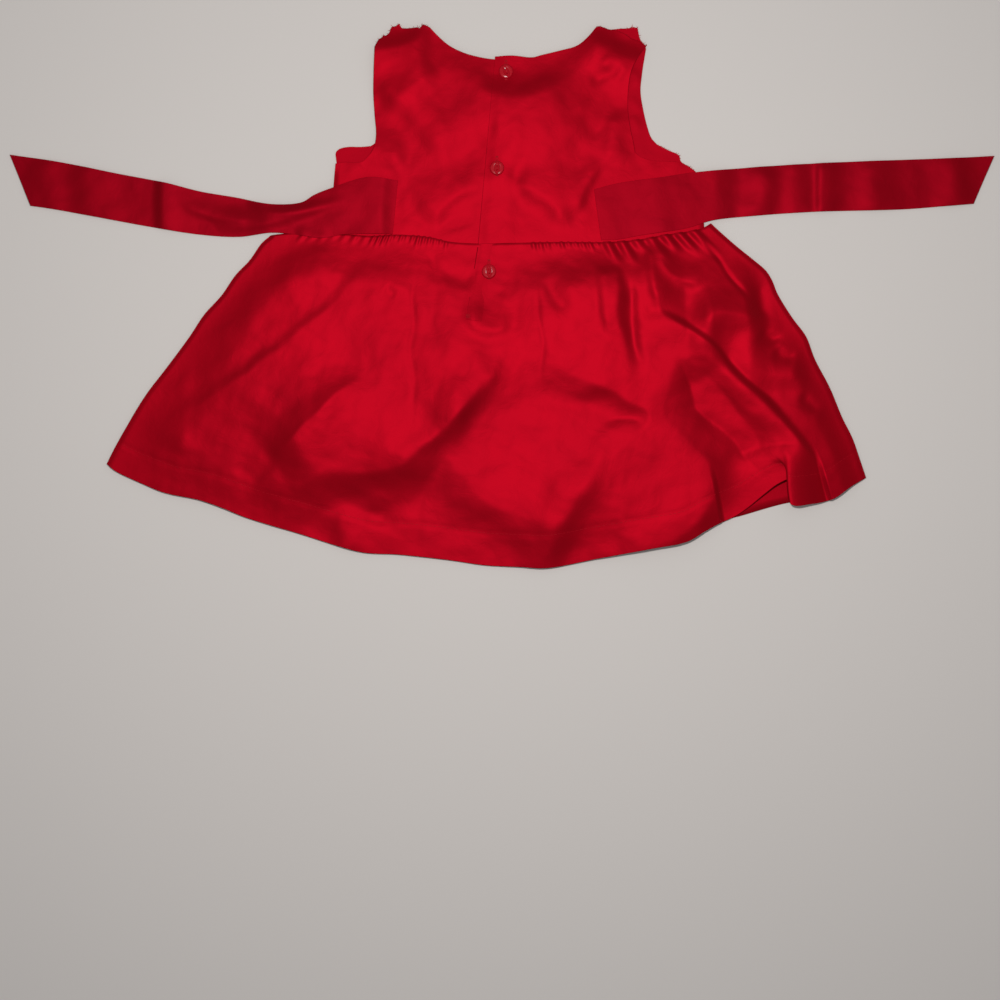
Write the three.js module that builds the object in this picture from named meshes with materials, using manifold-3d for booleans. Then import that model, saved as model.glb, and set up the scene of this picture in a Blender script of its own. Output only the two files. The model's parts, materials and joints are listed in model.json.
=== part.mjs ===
import * as THREE from 'three';
import { mergeVertices } from 'three/addons/utils/BufferGeometryUtils.js';
import Module from 'manifold-3d';

// Toddler's sleeveless party dress in red satin, lying flat on its front so that its buttoned back
// shows, with the two halves of its sash spread out to the sides.
// Millimetres. X runs across the dress, Y from the hem to the neck, Z up from the surface it lies on.

// Driving dimensions
const clothWall = 1.2;
const sashWall = 1.6;
const sashWidth = 40;
const seamGap = 0.3;
const sideTurn = { across: 2.6, alongRow: 3.8, drop: 1.1, frontInset: 4 };
const overlapEase = 14;
const buttonSize = { radius: 5.7, thick: 2.6, holeRadius: 0.7, holeOffset: 1.7, holeSides: 8, sides: 24 };
const buttonEye = { halfWidth: 2.3, halfLength: 5.2, deep: 1.2, sides: 16, rings: 10 };
const placketLift = clothWall + seamGap;

// Middle of the wall of each layer above the surface
const backLevel = clothWall + seamGap + clothWall / 2;
const placketLevel = backLevel + placketLift + 0.1;
const sashOnBack = backLevel + clothWall / 2 + seamGap + sashWall / 2 + 0.1;
const sashOnFloor = sashWall / 2;

// Outlines, one row for each point that the cut edge passes through
const waistSeam = [
  { x: -184.8, y: 48.4 }, { x: -161.6, y: 51 }, { x: -135.2, y: 50.4 }, { x: -104, y: 48.2 },
  { x: -84, y: 49.2 }, { x: -57.6, y: 47.2 }, { x: -41.6, y: 43.6 }, { x: -19.2, y: 42.2 },
  { x: 14.4, y: 42.8 }, { x: 46.4, y: 43.4 }, { x: 78.4, y: 43.2 }, { x: 94.4, y: 43.8 },
  { x: 114.4, y: 46 }, { x: 126.4, y: 48.4 }, { x: 150.4, y: 52 }, { x: 161.6, y: 54.8 },
  { x: 167, y: 58 },
];
const skirtLeftSide = [
  { x: -184.8, y: 48.4 }, { x: -192, y: 42.5 }, { x: -201.6, y: 29 }, { x: -213, y: 17 },
  { x: -224, y: 1 }, { x: -238, y: -14.5 }, { x: -249.6, y: -32 }, { x: -269.6, y: -59 },
  { x: -282, y: -75 }, { x: -290, y: -87 }, { x: -300, y: -104 }, { x: -309, y: -120 },
  { x: -316, y: -134 },
];
const skirtRightSide = [
  { x: 167, y: 58 }, { x: 187, y: 40.5 }, { x: 200, y: 30 }, { x: 211, y: 20.5 },
  { x: 216, y: 12.5 }, { x: 220, y: 2.5 }, { x: 232, y: -17 }, { x: 243, y: -32 },
  { x: 250, y: -50 }, { x: 262, y: -73 }, { x: 272, y: -97 }, { x: 280, y: -113 },
  { x: 286, y: -130 }, { x: 291, y: -145 },
];
const skirtHem = [
  { x: -316, y: -134 }, { x: -309.6, y: -139.4 }, { x: -289.6, y: -149 }, { x: -270, y: -157 },
  { x: -241.6, y: -163 }, { x: -221.6, y: -170 }, { x: -205.6, y: -176.6 }, { x: -161.6, y: -190 },
  { x: -130, y: -200 }, { x: -110, y: -205 }, { x: -81.6, y: -206.6 }, { x: -41.6, y: -211 },
  { x: -14, y: -215 }, { x: 14.4, y: -216.4 }, { x: 36, y: -217.2 }, { x: 78.4, y: -209.4 },
  { x: 118.4, y: -202 }, { x: 148, y: -196 }, { x: 162.4, y: -187.6 }, { x: 176, y: -180.6 },
  { x: 190, y: -177 }, { x: 230, y: -166 }, { x: 262, y: -163 }, { x: 279, y: -152 },
  { x: 291, y: -145 },
];

// Where the hem runs through the rolled pleat at its right: lower layer, hidden fold, flap
const pleatHem = [
  { x: 176, y: -180.6, lift: 0 }, { x: 188, y: -174.5, lift: 0 }, { x: 203, y: -163.5, lift: 0 },
  { x: 218, y: -151, lift: 0.2 }, { x: 230, y: -146, lift: 0.7 }, { x: 236, y: -149, lift: 2.3 },
  { x: 233.5, y: -157, lift: 3.5 }, { x: 229.5, y: -163, lift: 4.2 }, { x: 229, y: -165.5, lift: 5.4 },
  { x: 234, y: -167.6, lift: 5.8 }, { x: 244, y: -166.4, lift: 4.2 }, { x: 254, y: -165, lift: 1.8 },
  { x: 262, y: -163, lift: 0 },
];
const pleatRun = { from: 176, to: 262, startsAt: 0.8 };

// Back bodice, left half: it passes under the overlap
const leftBack = {
  junction: { x: -105, y: 114 },
  side: [{ x: -135.2, y: 50.4 }, { x: -135.2, y: 77 }, { x: -134.2, y: 94 }, { x: -133, y: 109.2 }],
  underarm: [{ x: -133, y: 109.2 }, { x: -125.6, y: 110.8 }, { x: -111, y: 110.8 }, { x: -105, y: 114 }],
  armhole: [
    { x: -105, y: 114 }, { x: -102, y: 120 }, { x: -100.6, y: 129 }, { x: -101.8, y: 145 },
    { x: -102.8, y: 163 }, { x: -102.4, y: 181 }, { x: -101.6, y: 199 },
  ],
  shoulder: [
    { x: -101.6, y: 199 }, { x: -98.6, y: 205 }, { x: -90.4, y: 209.2 }, { x: -87.4, y: 217.2 },
    { x: -81, y: 217.2 }, { x: -77, y: 213.6 }, { x: -62.4, y: 214.4 }, { x: -57.6, y: 214.8 },
  ],
  neck: [
    { x: -57.6, y: 214.8 }, { x: -49.6, y: 206.6 }, { x: -41.6, y: 200 }, { x: -30, y: 194.4 },
    { x: -17.6, y: 191 }, { x: -6.4, y: 189.4 }, { x: 12, y: 189 },
  ],
  centreTop: { x: 12, y: 189 },
  centreBottom: { x: -1.6, y: 42.6 },
};

// Back bodice, right half: its centre edge is the free edge of the overlap
const rightBack = {
  junction: { x: 106.4, y: 115 },
  side: [{ x: 161.6, y: 54.8 }, { x: 160.4, y: 77 }, { x: 158.4, y: 90 }, { x: 155.6, y: 98 }],
  underarm: [
    { x: 106.4, y: 115 }, { x: 111, y: 111.4 }, { x: 120, y: 108.6 }, { x: 131, y: 107.8 },
    { x: 141.4, y: 107.2 }, { x: 150, y: 102.4 }, { x: 155.6, y: 98 },
  ],
  armhole: [
    { x: 106.4, y: 115 }, { x: 105, y: 123 }, { x: 102.4, y: 134.8 }, { x: 100.6, y: 149 },
    { x: 100.8, y: 165 }, { x: 103, y: 179 }, { x: 108, y: 190 }, { x: 115.6, y: 199.4 },
  ],
  neck: [
    { x: -5.6, y: 191.6 }, { x: 8, y: 192.4 }, { x: 24, y: 191 }, { x: 32, y: 193 },
    { x: 46, y: 196.4 }, { x: 60, y: 200.4 }, { x: 68, y: 205.6 }, { x: 75.6, y: 214.4 },
  ],
  shoulder: [{ x: 75.6, y: 214.4 }, { x: 88, y: 211.6 }, { x: 98.4, y: 207.6 }, { x: 115.6, y: 199.4 }],
  centreTop: { x: -5.6, y: 191.6 },
  centreBottom: { x: -19.2, y: 42.2 },
};

// Front bodice: it shows past the back at both armholes and at the right shoulder
const frontBodiceEdge = {
  right: [
    { x: 158, y: 53.6 }, { x: 156.8, y: 77 }, { x: 154, y: 90 }, { x: 152.4, y: 96 },
    { x: 154.8, y: 99.8 }, { x: 150, y: 103.6 }, { x: 143, y: 108 }, { x: 141.8, y: 112.6 },
    { x: 132.8, y: 117 }, { x: 124, y: 121.6 }, { x: 119.4, y: 126.8 }, { x: 116.4, y: 135 },
    { x: 113, y: 149 }, { x: 110.8, y: 164 }, { x: 112, y: 178 }, { x: 115.2, y: 195.6 },
    { x: 116.4, y: 199.4 }, { x: 111.4, y: 203.6 }, { x: 108.6, y: 212 }, { x: 105.2, y: 215.4 },
    { x: 101, y: 214 }, { x: 84, y: 213 }, { x: 75, y: 212.6 },
  ],
  neck: [
    { x: 71, y: 207 }, { x: 62, y: 186 }, { x: 46, y: 170 }, { x: 24, y: 161 }, { x: 4, y: 158.6 },
    { x: -18, y: 162 }, { x: -38, y: 173 }, { x: -51, y: 190 }, { x: -59, y: 211 },
  ],
  left: [
    { x: -82, y: 213 }, { x: -96.6, y: 204 }, { x: -100, y: 197 }, { x: -100.8, y: 180 },
    { x: -101, y: 162 }, { x: -100, y: 145 }, { x: -99, y: 129 }, { x: -100.6, y: 123.6 },
    { x: -104.6, y: 120.4 }, { x: -113, y: 119.6 }, { x: -123, y: 119.6 }, { x: -130, y: 118 },
    { x: -133, y: 114.6 }, { x: -132.8, y: 110.8 }, { x: -130.4, y: 107.6 }, { x: -130.8, y: 94 },
    { x: -131.8, y: 77 }, { x: -131.8, y: 51 },
  ],
};

// Sash halves: the edges run from the seam on the back bodice to the cut end
const sashes = [
  {
    name: 'sash_left',
    upper: [
      { x: -83.2, y: 92.4 }, { x: -107.2, y: 95 }, { x: -134.4, y: 87 }, { x: -150, y: 81 },
      { x: -160, y: 75 }, { x: -184, y: 73.6 }, { x: -212, y: 79 }, { x: -241.6, y: 84 },
      { x: -269.6, y: 91 }, { x: -309.6, y: 98.6 }, { x: -353.6, y: 107.4 }, { x: -393.6, y: 113.4 },
    ],
    lower: [
      { x: -87.4, y: 49.6 }, { x: -104, y: 49.8 }, { x: -125.6, y: 49.4 }, { x: -145, y: 46.6 },
      { x: -165, y: 49.4 }, { x: -184, y: 50.8 }, { x: -210, y: 47.6 }, { x: -241.6, y: 49.4 },
      { x: -280, y: 55.4 }, { x: -330, y: 64.6 }, { x: -360, y: 70 }, { x: -377, y: 72.4 },
    ],
    leavesBodyAt: -187,
    floorAt: -204,
    waves: [
      { name: 'end crease', at: -277, lean: 0, width: 5, rise: 2.2 },
      { name: 'outer swell', at: -322, lean: 0.3, width: 16, rise: 1.6 },
      { name: 'middle swell', at: -240, lean: 0.6, width: 14, rise: 2 },
      { name: 'body swell', at: -150, lean: 0.4, width: 12, rise: 1.4 },
      { name: 'root roll', at: -97, lean: 0.1, width: 9, rise: 1.8 },
    ],
  },
  {
    name: 'sash_right',
    upper: [
      { x: 73.6, y: 85.2 }, { x: 88, y: 89.2 }, { x: 106.4, y: 92.4 }, { x: 126.4, y: 94.8 },
      { x: 152, y: 98.8 }, { x: 204, y: 103.4 }, { x: 260, y: 106.8 }, { x: 320, y: 109.2 },
      { x: 360, y: 110.6 }, { x: 393.6, y: 112.4 },
    ],
    lower: [
      { x: 79.2, y: 44.8 }, { x: 92.8, y: 45.4 }, { x: 110.4, y: 48.6 }, { x: 126.4, y: 51 },
      { x: 142.4, y: 53.4 }, { x: 152, y: 55.6 }, { x: 168, y: 60.6 }, { x: 204, y: 64.6 },
      { x: 250, y: 67.6 }, { x: 320, y: 69.6 }, { x: 352, y: 72 }, { x: 377, y: 74 },
    ],
    leavesBodyAt: 169,
    floorAt: 186,
    waves: [
      { name: 'body swell', at: 120, lean: 0.4, width: 18, rise: 1.2 },
      { name: 'first swell', at: 214, lean: -0.1, width: 14, rise: 2.4 },
      { name: 'sharp crease', at: 258, lean: 0, width: 8, rise: 2.2 },
      { name: 'third swell', at: 300, lean: 0.2, width: 14, rise: 1.8 },
      { name: 'end swell', at: 358, lean: 0.4, width: 14, rise: 2 },
    ],
  },
];

// Folds. Each crest runs through three points, and its steep flank is on the right hand of a walk
// from the first point to the last. Widths are how far each flank reaches.
const bodiceFolds = [
  { name: 'neck smile', from: [-54, 186], via: [2, 174], to: [50, 188], rise: 3, steep: 9, gentle: 13 },
  { name: 'left drag', from: [-94, 168], via: [-58, 139], to: [-36, 98],
    rise: 2.6, steep: 10, gentle: 26 },
  { name: 'right drag', from: [-20, 110], via: [38, 124], to: [82, 156],
    rise: 2.6, steep: 10, gentle: 24 },
  { name: 'arch left', from: [-66, 54], via: [-43, 82], to: [-10, 98], rise: 2, steep: 8, gentle: 14 },
  { name: 'arch right', from: [-10, 94], via: [28, 84], to: [58, 48], rise: 2.6, steep: 9, gentle: 16 },
  { name: 'left shoulder', from: [-44, 211], via: [-76, 201], to: [-112, 187],
    rise: 2.6, steep: 9, gentle: 14 },
  { name: 'right shoulder', from: [124, 186], via: [94, 196], to: [60, 208],
    rise: 2.6, steep: 9, gentle: 14 },
];
const skirtFolds = [
  { name: 'long left', from: [-104, 36], via: [-168, -36], to: [-280, -108],
    rise: 2.4, steep: 7, gentle: 44 },
  { name: 'left wedge', from: [-86, -58], via: [-140, -102], to: [-196, -146],
    rise: 4.6, steep: 28, gentle: 46 },
  { name: 'left puff foot', from: [-152, -116], via: [-126, -144], to: [-76, -146],
    rise: 4, steep: 14, gentle: 26 },
  { name: 'great slope', from: [-116, -152], via: [-54, -112], to: [6, -40],
    rise: 5.6, steep: 20, gentle: 34 },
  { name: 'middle puff foot', from: [-40, -134], via: [-8, -172], to: [62, -176],
    rise: 3.6, steep: 16, gentle: 30 },
  { name: 'middle puff side', from: [18, -232], via: [56, -166], to: [82, -108],
    rise: 6.2, steep: 14, gentle: 28 },
  { name: 'tooth shelf', from: [44, -58], via: [78, -70], to: [112, -84],
    rise: 4.6, steep: 13, gentle: 20 },
  { name: 'tooth', from: [102, -26], via: [110, -72], to: [134, -112], rise: 5, steep: 15, gentle: 14 },
  { name: 'right ridge', from: [86, 44], via: [103, -10], to: [108, -74],
    rise: 4.6, steep: 9, gentle: 14 },
  { name: 'waist roll', from: [114, 56], via: [121, 14], to: [132, -34], rise: 4, steep: 9, gentle: 14 },
  { name: 'pleat roll', from: [104, 4], via: [186, -64], to: [270, -160],
    rise: 9, steep: 17, gentle: 32 },
  { name: 'right puff top', from: [184, -150], via: [146, -114], to: [100, -74],
    rise: 2.6, steep: 9, gentle: 24 },
  { name: 'right puff side', from: [136, -216], via: [164, -164], to: [170, -120],
    rise: 4.4, steep: 10, gentle: 28 },
  { name: 'placket smile', from: [-56, -18], via: [-10, -30], to: [24, -8],
    rise: 2.2, steep: 9, gentle: 9 },
  { name: 'right arc', from: [116, 40], via: [142, 17], to: [192, 10], rise: 2.6, steep: 8, gentle: 12 },
  { name: 'right hollow', from: [136, -22], via: [180, -1], to: [236, -14],
    rise: 3.2, steep: 15, gentle: 14 },
  { name: 'right lobe', from: [172, -40], via: [214, -60], to: [252, -64],
    rise: 3, steep: 15, gentle: 16 },
  { name: 'left soft', from: [-122, 38], via: [-168, 24], to: [-220, 6],
    rise: 2.2, steep: 10, gentle: 20 },
  { name: 'left low soft', from: [-176, -8], via: [-214, -22], to: [-262, -56],
    rise: 2.2, steep: 12, gentle: 22 },
];

// Puffs of the skirt: each stands high inside its loop. A row is a point of the loop, and how far
// outside it the cloth takes to fall to the general level.
const skirtPuffs = [
  {
    name: 'left puff',
    rise: 5.4,
    loop: [
      { x: -92, y: -64, fall: 30 }, { x: -124, y: -90, fall: 46 }, { x: -152, y: -112, fall: 60 },
      { x: -184, y: -140, fall: 70 }, { x: -166, y: -152, fall: 60 }, { x: -146, y: -142, fall: 44 },
      { x: -130, y: -150, fall: 24 }, { x: -106, y: -157, fall: 26 }, { x: -84, y: -150, fall: 30 },
      { x: -66, y: -128, fall: 36 }, { x: -44, y: -104, fall: 40 }, { x: -22, y: -74, fall: 40 },
      { x: -6, y: -56, fall: 60 }, { x: -10, y: -40, fall: 90 }, { x: -50, y: -30, fall: 90 },
      { x: -84, y: -46, fall: 60 },
    ],
  },
  {
    name: 'middle puff',
    rise: 4.2,
    loop: [
      { x: -44, y: -122, fall: 50 }, { x: -34, y: -140, fall: 34 }, { x: -22, y: -157, fall: 24 },
      { x: -8, y: -170, fall: 22 }, { x: 12, y: -176, fall: 24 }, { x: 34, y: -180, fall: 24 },
      { x: 48, y: -182, fall: 22 }, { x: 60, y: -164, fall: 26 }, { x: 72, y: -142, fall: 30 },
      { x: 82, y: -122, fall: 40 }, { x: 66, y: -108, fall: 70 }, { x: 30, y: -102, fall: 84 },
      { x: -20, y: -100, fall: 84 },
    ],
  },
  {
    name: 'right puff',
    rise: 4.2,
    loop: [
      { x: 104, y: -84, fall: 16 }, { x: 128, y: -98, fall: 26 }, { x: 146, y: -112, fall: 36 },
      { x: 160, y: -124, fall: 44 }, { x: 169, y: -136, fall: 40 }, { x: 164, y: -150, fall: 24 },
      { x: 152, y: -172, fall: 20 }, { x: 140, y: -194, fall: 22 }, { x: 112, y: -192, fall: 46 },
      { x: 96, y: -168, fall: 46 }, { x: 98, y: -120, fall: 46 }, { x: 98, y: -96, fall: 30 },
    ],
  },
];

// Gathers along the waist seam
const gatherGroups = [
  { name: 'left', from: -104, to: -42, tucks: 14, depth: 0.9, run: 15 },
  { name: 'centre', from: -42, to: 22, tucks: 4, depth: 0.5, run: 9 },
  { name: 'right', from: 22, to: 78, tucks: 10, depth: 1, run: 18 },
  { name: 'side', from: 78, to: 158, tucks: 7, depth: 1.8, run: 24 },
];
const gatherRows = [0, 3, 8, 14];
const foldsFadeIn = { belowWaist: 20, fromSide: 16 };

// Where the folds of the bodice fade out, so that it lies flat at the waist, the sides and the sash
const bodiceFade = {
  waistY: 44, rise: 6, riseFrom: 80, riseTo: 160, aboveWaist: 14, fromSide: 12,
  sashFrom: 78, sashTo: 90, sashTop: 92, clearTop: 106,
};
const underarmRow = 118;
const sideDropTop = { left: 106, right: 95, fade: 12 };
const seamSide = 0.2;
const turnStart = 0.4;

// The skirt's flat front is cut inside these limits
const frontSkirt = {
  leftLow: -131, leftHigh: 45, rightLow: -140, rightHigh: 52, hemLeft: -308, hemRight: 280,
  hemInset: 1.4, topLeft: -180, topRight: 160.6,
};

// The lap of the opening, carried 60 mm down the skirt
const placket = {
  topLeft: { x: -19.2, y: 41.6 },
  topRight: { x: 1, y: 42 },
  bottomLeft: { x: -28.8, y: -18.8 },
  bottomRight: { x: -8, y: -21.6 },
  margin: 30,
  clear: 0.3,
};
const buttonPlaces = [
  { name: 'button_top', x: 3.2, y: 178.8, on: 'bodice', turn: 28 },
  { name: 'button_middle', x: -4, y: 102, on: 'bodice', turn: -4 },
  { name: 'button_skirt', x: -10.4, y: 19.6, on: 'skirt', turn: 8 },
];

// How finely each piece is faceted
const cells = {
  skirtAcross: 50, skirtRowPitch: 9.2, skirtLength: 262, pleatExtra: 9,
  underarmLeft: 3, bodiceLeft: 14, underarmRight: 6, bodiceRight: 13, lower: 8, upper: 11,
  shoulderRight: 5, sashAlong: 38, sashAcross: 4, placketAcross: 2, placketAlong: 7,
  tuck: 4, besideTucks: 12, crest: 14, side: 40, frontSide: 26, frontHem: 52, frontWaist: 34,
  bodiceWaist: 26, puff: 3,
};
const closestShares = { row: 0.0012, turn: 0.004 };

// Section of a button from its underside to its rounded face
const buttonProfile = [
  { inset: 1.4, z: 0 }, { inset: 0.3, z: 0.7 }, { inset: 0, z: 1.4 }, { inset: 0.35, z: 2.1 },
  { inset: 1, z: 2.5 }, { inset: 1.9, z: 2.6 }, { inset: 3, z: 2.5 },
];
const buttonSeat = { spokes: 16, reaches: [0, 0.65, 1.3], clearance: 0.15 };

const smooth = (low, high, value) => THREE.MathUtils.smoothstep(value, low, high);
const mix = THREE.MathUtils.lerp;

function pathThrough(rows) {
  const points = rows.map((row) => new THREE.Vector3(row.x, row.y, row.lift ?? 0));
  const path = new THREE.CatmullRomCurve3(points, false, 'centripetal');
  path.arcLengthDivisions = 600;
  return path;
}

function straight(from, to) {
  return pathThrough([from, { x: mix(from.x, to.x, 0.5), y: mix(from.y, to.y, 0.5) }, to]);
}

// Share of a path's length at which it reaches a given x
function shareAtX(path, x) {
  let low = 0;
  let high = 1;
  for (let step = 0; step < 30; step += 1) {
    const middle = (low + high) / 2;
    if (path.getPointAt(middle).x < x) {
      low = middle;
    } else {
      high = middle;
    }
  }
  return (low + high) / 2;
}

// A part of a path between two x positions, as points
function partOfPath(path, fromX, toX, count) {
  const from = shareAtX(path, fromX);
  const to = shareAtX(path, toX);
  const points = [];
  for (let i = 0; i <= count; i += 1) {
    points.push(path.getPointAt(mix(from, to, i / count)));
  }
  return points;
}

// Crest lines as short polylines, worked out once
function crestLine(fold) {
  const control = [2 * fold.via[0] - (fold.from[0] + fold.to[0]) / 2,
    2 * fold.via[1] - (fold.from[1] + fold.to[1]) / 2];
  const curve = new THREE.QuadraticBezierCurve(
    new THREE.Vector2(...fold.from), new THREE.Vector2(...control), new THREE.Vector2(...fold.to));
  return { ...fold, line: curve.getPoints(cells.crest) };
}

// Nearest place on a line of points: how far off it is, its share of the line, and the side
function nearestOn(line, x, y) {
  let nearest = { distance: Infinity, along: 0, side: 0 };
  for (let i = 0; i + 1 < line.length; i += 1) {
    const start = line[i];
    const dx = line[i + 1].x - start.x;
    const dy = line[i + 1].y - start.y;
    const along = ((x - start.x) * dx + (y - start.y) * dy) / (dx * dx + dy * dy);
    const share = THREE.MathUtils.clamp(along, 0, 1);
    const awayX = x - start.x - dx * share;
    const awayY = y - start.y - dy * share;
    const distance = Math.hypot(awayX, awayY);
    if (distance < nearest.distance) {
      nearest = { distance, along: (i + share) / (line.length - 1), side: dx * awayY - dy * awayX };
    }
  }
  return nearest;
}

const distanceTo = (line, x, y) => nearestOn(line, x, y).distance;

// Height that one fold adds at a place: its crest fades to nothing at both of its ends
function foldHeight(fold, x, y) {
  const { distance, along, side } = nearestOn(fold.line, x, y);
  const reach = side < 0 ? fold.steep : fold.gentle;
  const ends = smooth(0, 0.3, along) * smooth(0, 0.3, 1 - along);
  return fold.rise * ends * Math.exp(-((distance / reach) ** 2));
}

const bodiceCrests = bodiceFolds.map(crestLine);
const skirtCrests = skirtFolds.map(crestLine);
const sumOfFolds = (crests, x, y) => crests.reduce((sum, fold) => sum + foldHeight(fold, x, y), 0);

// Loops of the puffs as short polylines, with the fall in place of z
const puffLoops = skirtPuffs.map((puff) => {
  const points = puff.loop.map((row) => new THREE.Vector3(row.x, row.y, row.fall));
  const curve = new THREE.CatmullRomCurve3(points, true, 'centripetal');
  return { rise: puff.rise, line: curve.getPoints(points.length * cells.puff) };
});

function isInside(line, x, y) {
  let inside = false;
  for (let i = 0; i + 1 < line.length; i += 1) {
    const [a, b] = [line[i], line[i + 1]];
    if ((a.y > y) !== (b.y > y) && x < ((b.x - a.x) * (y - a.y)) / (b.y - a.y) + a.x) {
      inside = !inside;
    }
  }
  return inside;
}

function puffHeight(puff, x, y) {
  if (isInside(puff.line, x, y)) {
    return puff.rise;
  }
  const { distance, along } = nearestOn(puff.line, x, y);
  const at = Math.min(along * (puff.line.length - 1), puff.line.length - 1.001);
  const [before, after] = [puff.line[Math.floor(at)], puff.line[Math.floor(at) + 1]];
  const fall = mix(before.z, after.z, at - Math.floor(at));
  const down = THREE.MathUtils.clamp(distance / fall, 0, 1);
  return puff.rise * (1 - 0.5 * smooth(0, 1, down) - 0.5 * (1 - (1 - down) ** 2));
}

const sumOfPuffs = (x, y) => puffLoops.reduce((sum, puff) => sum + puffHeight(puff, x, y), 0);

// A repeatable uneven value between 0 and 1 for each tuck
function uneven(index) {
  const value = Math.sin(index * 12.9898 + 4.137) * 43758.5453;
  return value - Math.floor(value);
}

function gatherHeight(waistX, below) {
  let height = 0;
  gatherGroups.forEach((group, number) => {
    if (waistX > group.from && waistX < group.to) {
      const phase = ((waistX - group.from) / (group.to - group.from)) * group.tucks;
      const tuck = Math.floor(phase) + number * 20;
      const deep = group.depth * (0.55 + 0.45 * uneven(tuck));
      const run = group.run * (0.6 + 0.7 * uneven(tuck + 7));
      const faded = 1 - smooth(0.15 * run, 1.5 * run, below);
      height = deep * (0.5 - 0.5 * Math.cos(2 * Math.PI * phase)) * faded;
    }
  });
  return height;
}

// Closes a middle surface into a wall: its points are moved half a wall out and in along their
// normals, and a rim joins the two along every edge that belongs to one triangle only.
function wallFrom(points, triangles, wall) {
  const normals = points.map(() => new THREE.Vector3());
  triangles.forEach(([a, b, c]) => {
    const ab = points[b].clone().sub(points[a]);
    const ac = points[c].clone().sub(points[a]);
    const normal = ab.cross(ac);
    [a, b, c].forEach((corner) => normals[corner].add(normal));
  });
  normals.forEach((normal) => normal.normalize());
  const count = points.length;
  const positions = [];
  [1, -1].forEach((way) => {
    points.forEach((point, i) => {
      const moved = point.clone().addScaledVector(normals[i], way * wall / 2);
      positions.push(moved.x, moved.y, moved.z);
    });
  });
  const index = [];
  const edges = new Map();
  triangles.forEach(([a, b, c]) => {
    index.push(a, b, c, count + a, count + c, count + b);
    [[a, b], [b, c], [c, a]].forEach(([from, to]) => edges.set(`${from}_${to}`, [from, to]));
  });
  edges.forEach(([from, to]) => {
    if (!edges.has(`${to}_${from}`)) {
      index.push(from, count + from, count + to, from, count + to, to);
    }
  });
  const geometry = new THREE.BufferGeometry();
  geometry.setAttribute('position', new THREE.Float32BufferAttribute(positions, 3));
  geometry.setIndex(index);
  return geometry;
}

// Middle surface under construction: points merged by place, and the triangles between them
class Surface {
  constructor() {
    this.points = [];
    this.triangles = [];
    this.known = new Map();
  }

  add(point) {
    const key = `${point.x.toFixed(3)} ${point.y.toFixed(3)} ${point.z.toFixed(3)}`;
    if (!this.known.has(key)) {
      this.known.set(key, this.points.length);
      this.points.push(point);
    }
    return this.known.get(key);
  }

  // Rows hold { s, point } from left to right, the upper row first
  stitch(upper, lower) {
    const top = upper.map((item) => this.add(item.point));
    const bottom = lower.map((item) => this.add(item.point));
    let i = 0;
    let j = 0;
    while (i + 1 < top.length || j + 1 < bottom.length) {
      const nextTop = i + 1 < top.length ? upper[i + 1].s : Infinity;
      const nextBottom = j + 1 < bottom.length ? lower[j + 1].s : Infinity;
      if (nextBottom <= nextTop) {
        this.triangles.push([top[i], bottom[j], bottom[j + 1]]);
        j += 1;
      } else {
        this.triangles.push([top[i], bottom[j], top[i + 1]]);
        i += 1;
      }
    }
  }
}

// Shares of the way along two facing edges, as the mean of the two
function sharesAlong(first, second) {
  const measure = (points) => {
    const lengths = [0];
    for (let i = 1; i < points.length; i += 1) {
      lengths.push(lengths[i - 1] + Math.hypot(points[i].x - points[i - 1].x, points[i].y - points[i - 1].y));
    }
    return lengths.map((length) => length / lengths[lengths.length - 1]);
  };
  const other = measure(second);
  return measure(first).map((share, i) => (share + other[i]) / 2);
}

// Four-sided patch between four edges given as points
function addPatch(surface, bottom, top, left, right, heightAt) {
  const across = sharesAlong(bottom, top);
  const along = sharesAlong(left, right);
  const last = across.length - 1;
  const rows = along.map((t, j) => across.map((s, i) => {
    const place = (axis) => (1 - t) * bottom[i][axis] + t * top[i][axis]
      + (1 - s) * left[j][axis] + s * right[j][axis]
      - (1 - s) * (1 - t) * bottom[0][axis] - s * (1 - t) * bottom[last][axis]
      - (1 - s) * t * top[0][axis] - s * t * top[last][axis];
    const x = place('x');
    const y = place('y');
    return { s, point: new THREE.Vector3(x, y, heightAt(x, y)) };
  }));
  for (let j = 0; j + 1 < rows.length; j += 1) {
    surface.stitch(rows[j + 1], rows[j]);
  }
}

// Adds a point a little inside the first one, where the cloth turns down at a side seam
function withTurn(points) {
  const share = sideTurn.across / points[0].distanceTo(points[1]);
  return [points[0], points[0].clone().lerp(points[1], share), ...points.slice(1)];
}

function joined(...lists) {
  return lists.flatMap((list, number) => (number === 0 ? list : list.slice(1)));
}

const waistPath = pathThrough(waistSeam);
const raised = (points, up) => points.map((point) => point.clone().add(new THREE.Vector3(0, up, 0)));

// X of the straight centre edge of either back half at a height on it
function centreEdge(back, y) {
  const share = (y - back.centreBottom.y) / (back.centreTop.y - back.centreBottom.y);
  return mix(back.centreBottom.x, back.centreTop.x, share);
}

// Back bodice heights
function bodiceRise(x, y) {
  const fade = bodiceFade;
  const waist = fade.waistY + fade.rise * smooth(fade.riseFrom, fade.riseTo, Math.abs(x));
  const toSide = Math.min(distanceTo(leftBack.side, x, y), distanceTo(rightBack.side, x, y));
  const free = smooth(0, fade.aboveWaist, y - waist) * smooth(0, fade.fromSide, toSide);
  const besideSash = smooth(fade.sashFrom, fade.sashTo, Math.abs(x));
  const underSash = 1 - besideSash * (1 - smooth(fade.sashTop, fade.clearTop, y));
  return sumOfFolds(bodiceCrests, x, y) * free * underSash;
}

function turnedDown(toSide) {
  return sideTurn.drop * (1 - smooth(turnStart * sideTurn.across, sideTurn.across, toSide));
}

function sideDrop(side, fadeTop, x, y) {
  return turnedDown(distanceTo(side, x, y)) * (1 - smooth(fadeTop - sideDropTop.fade, fadeTop, y));
}

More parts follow.
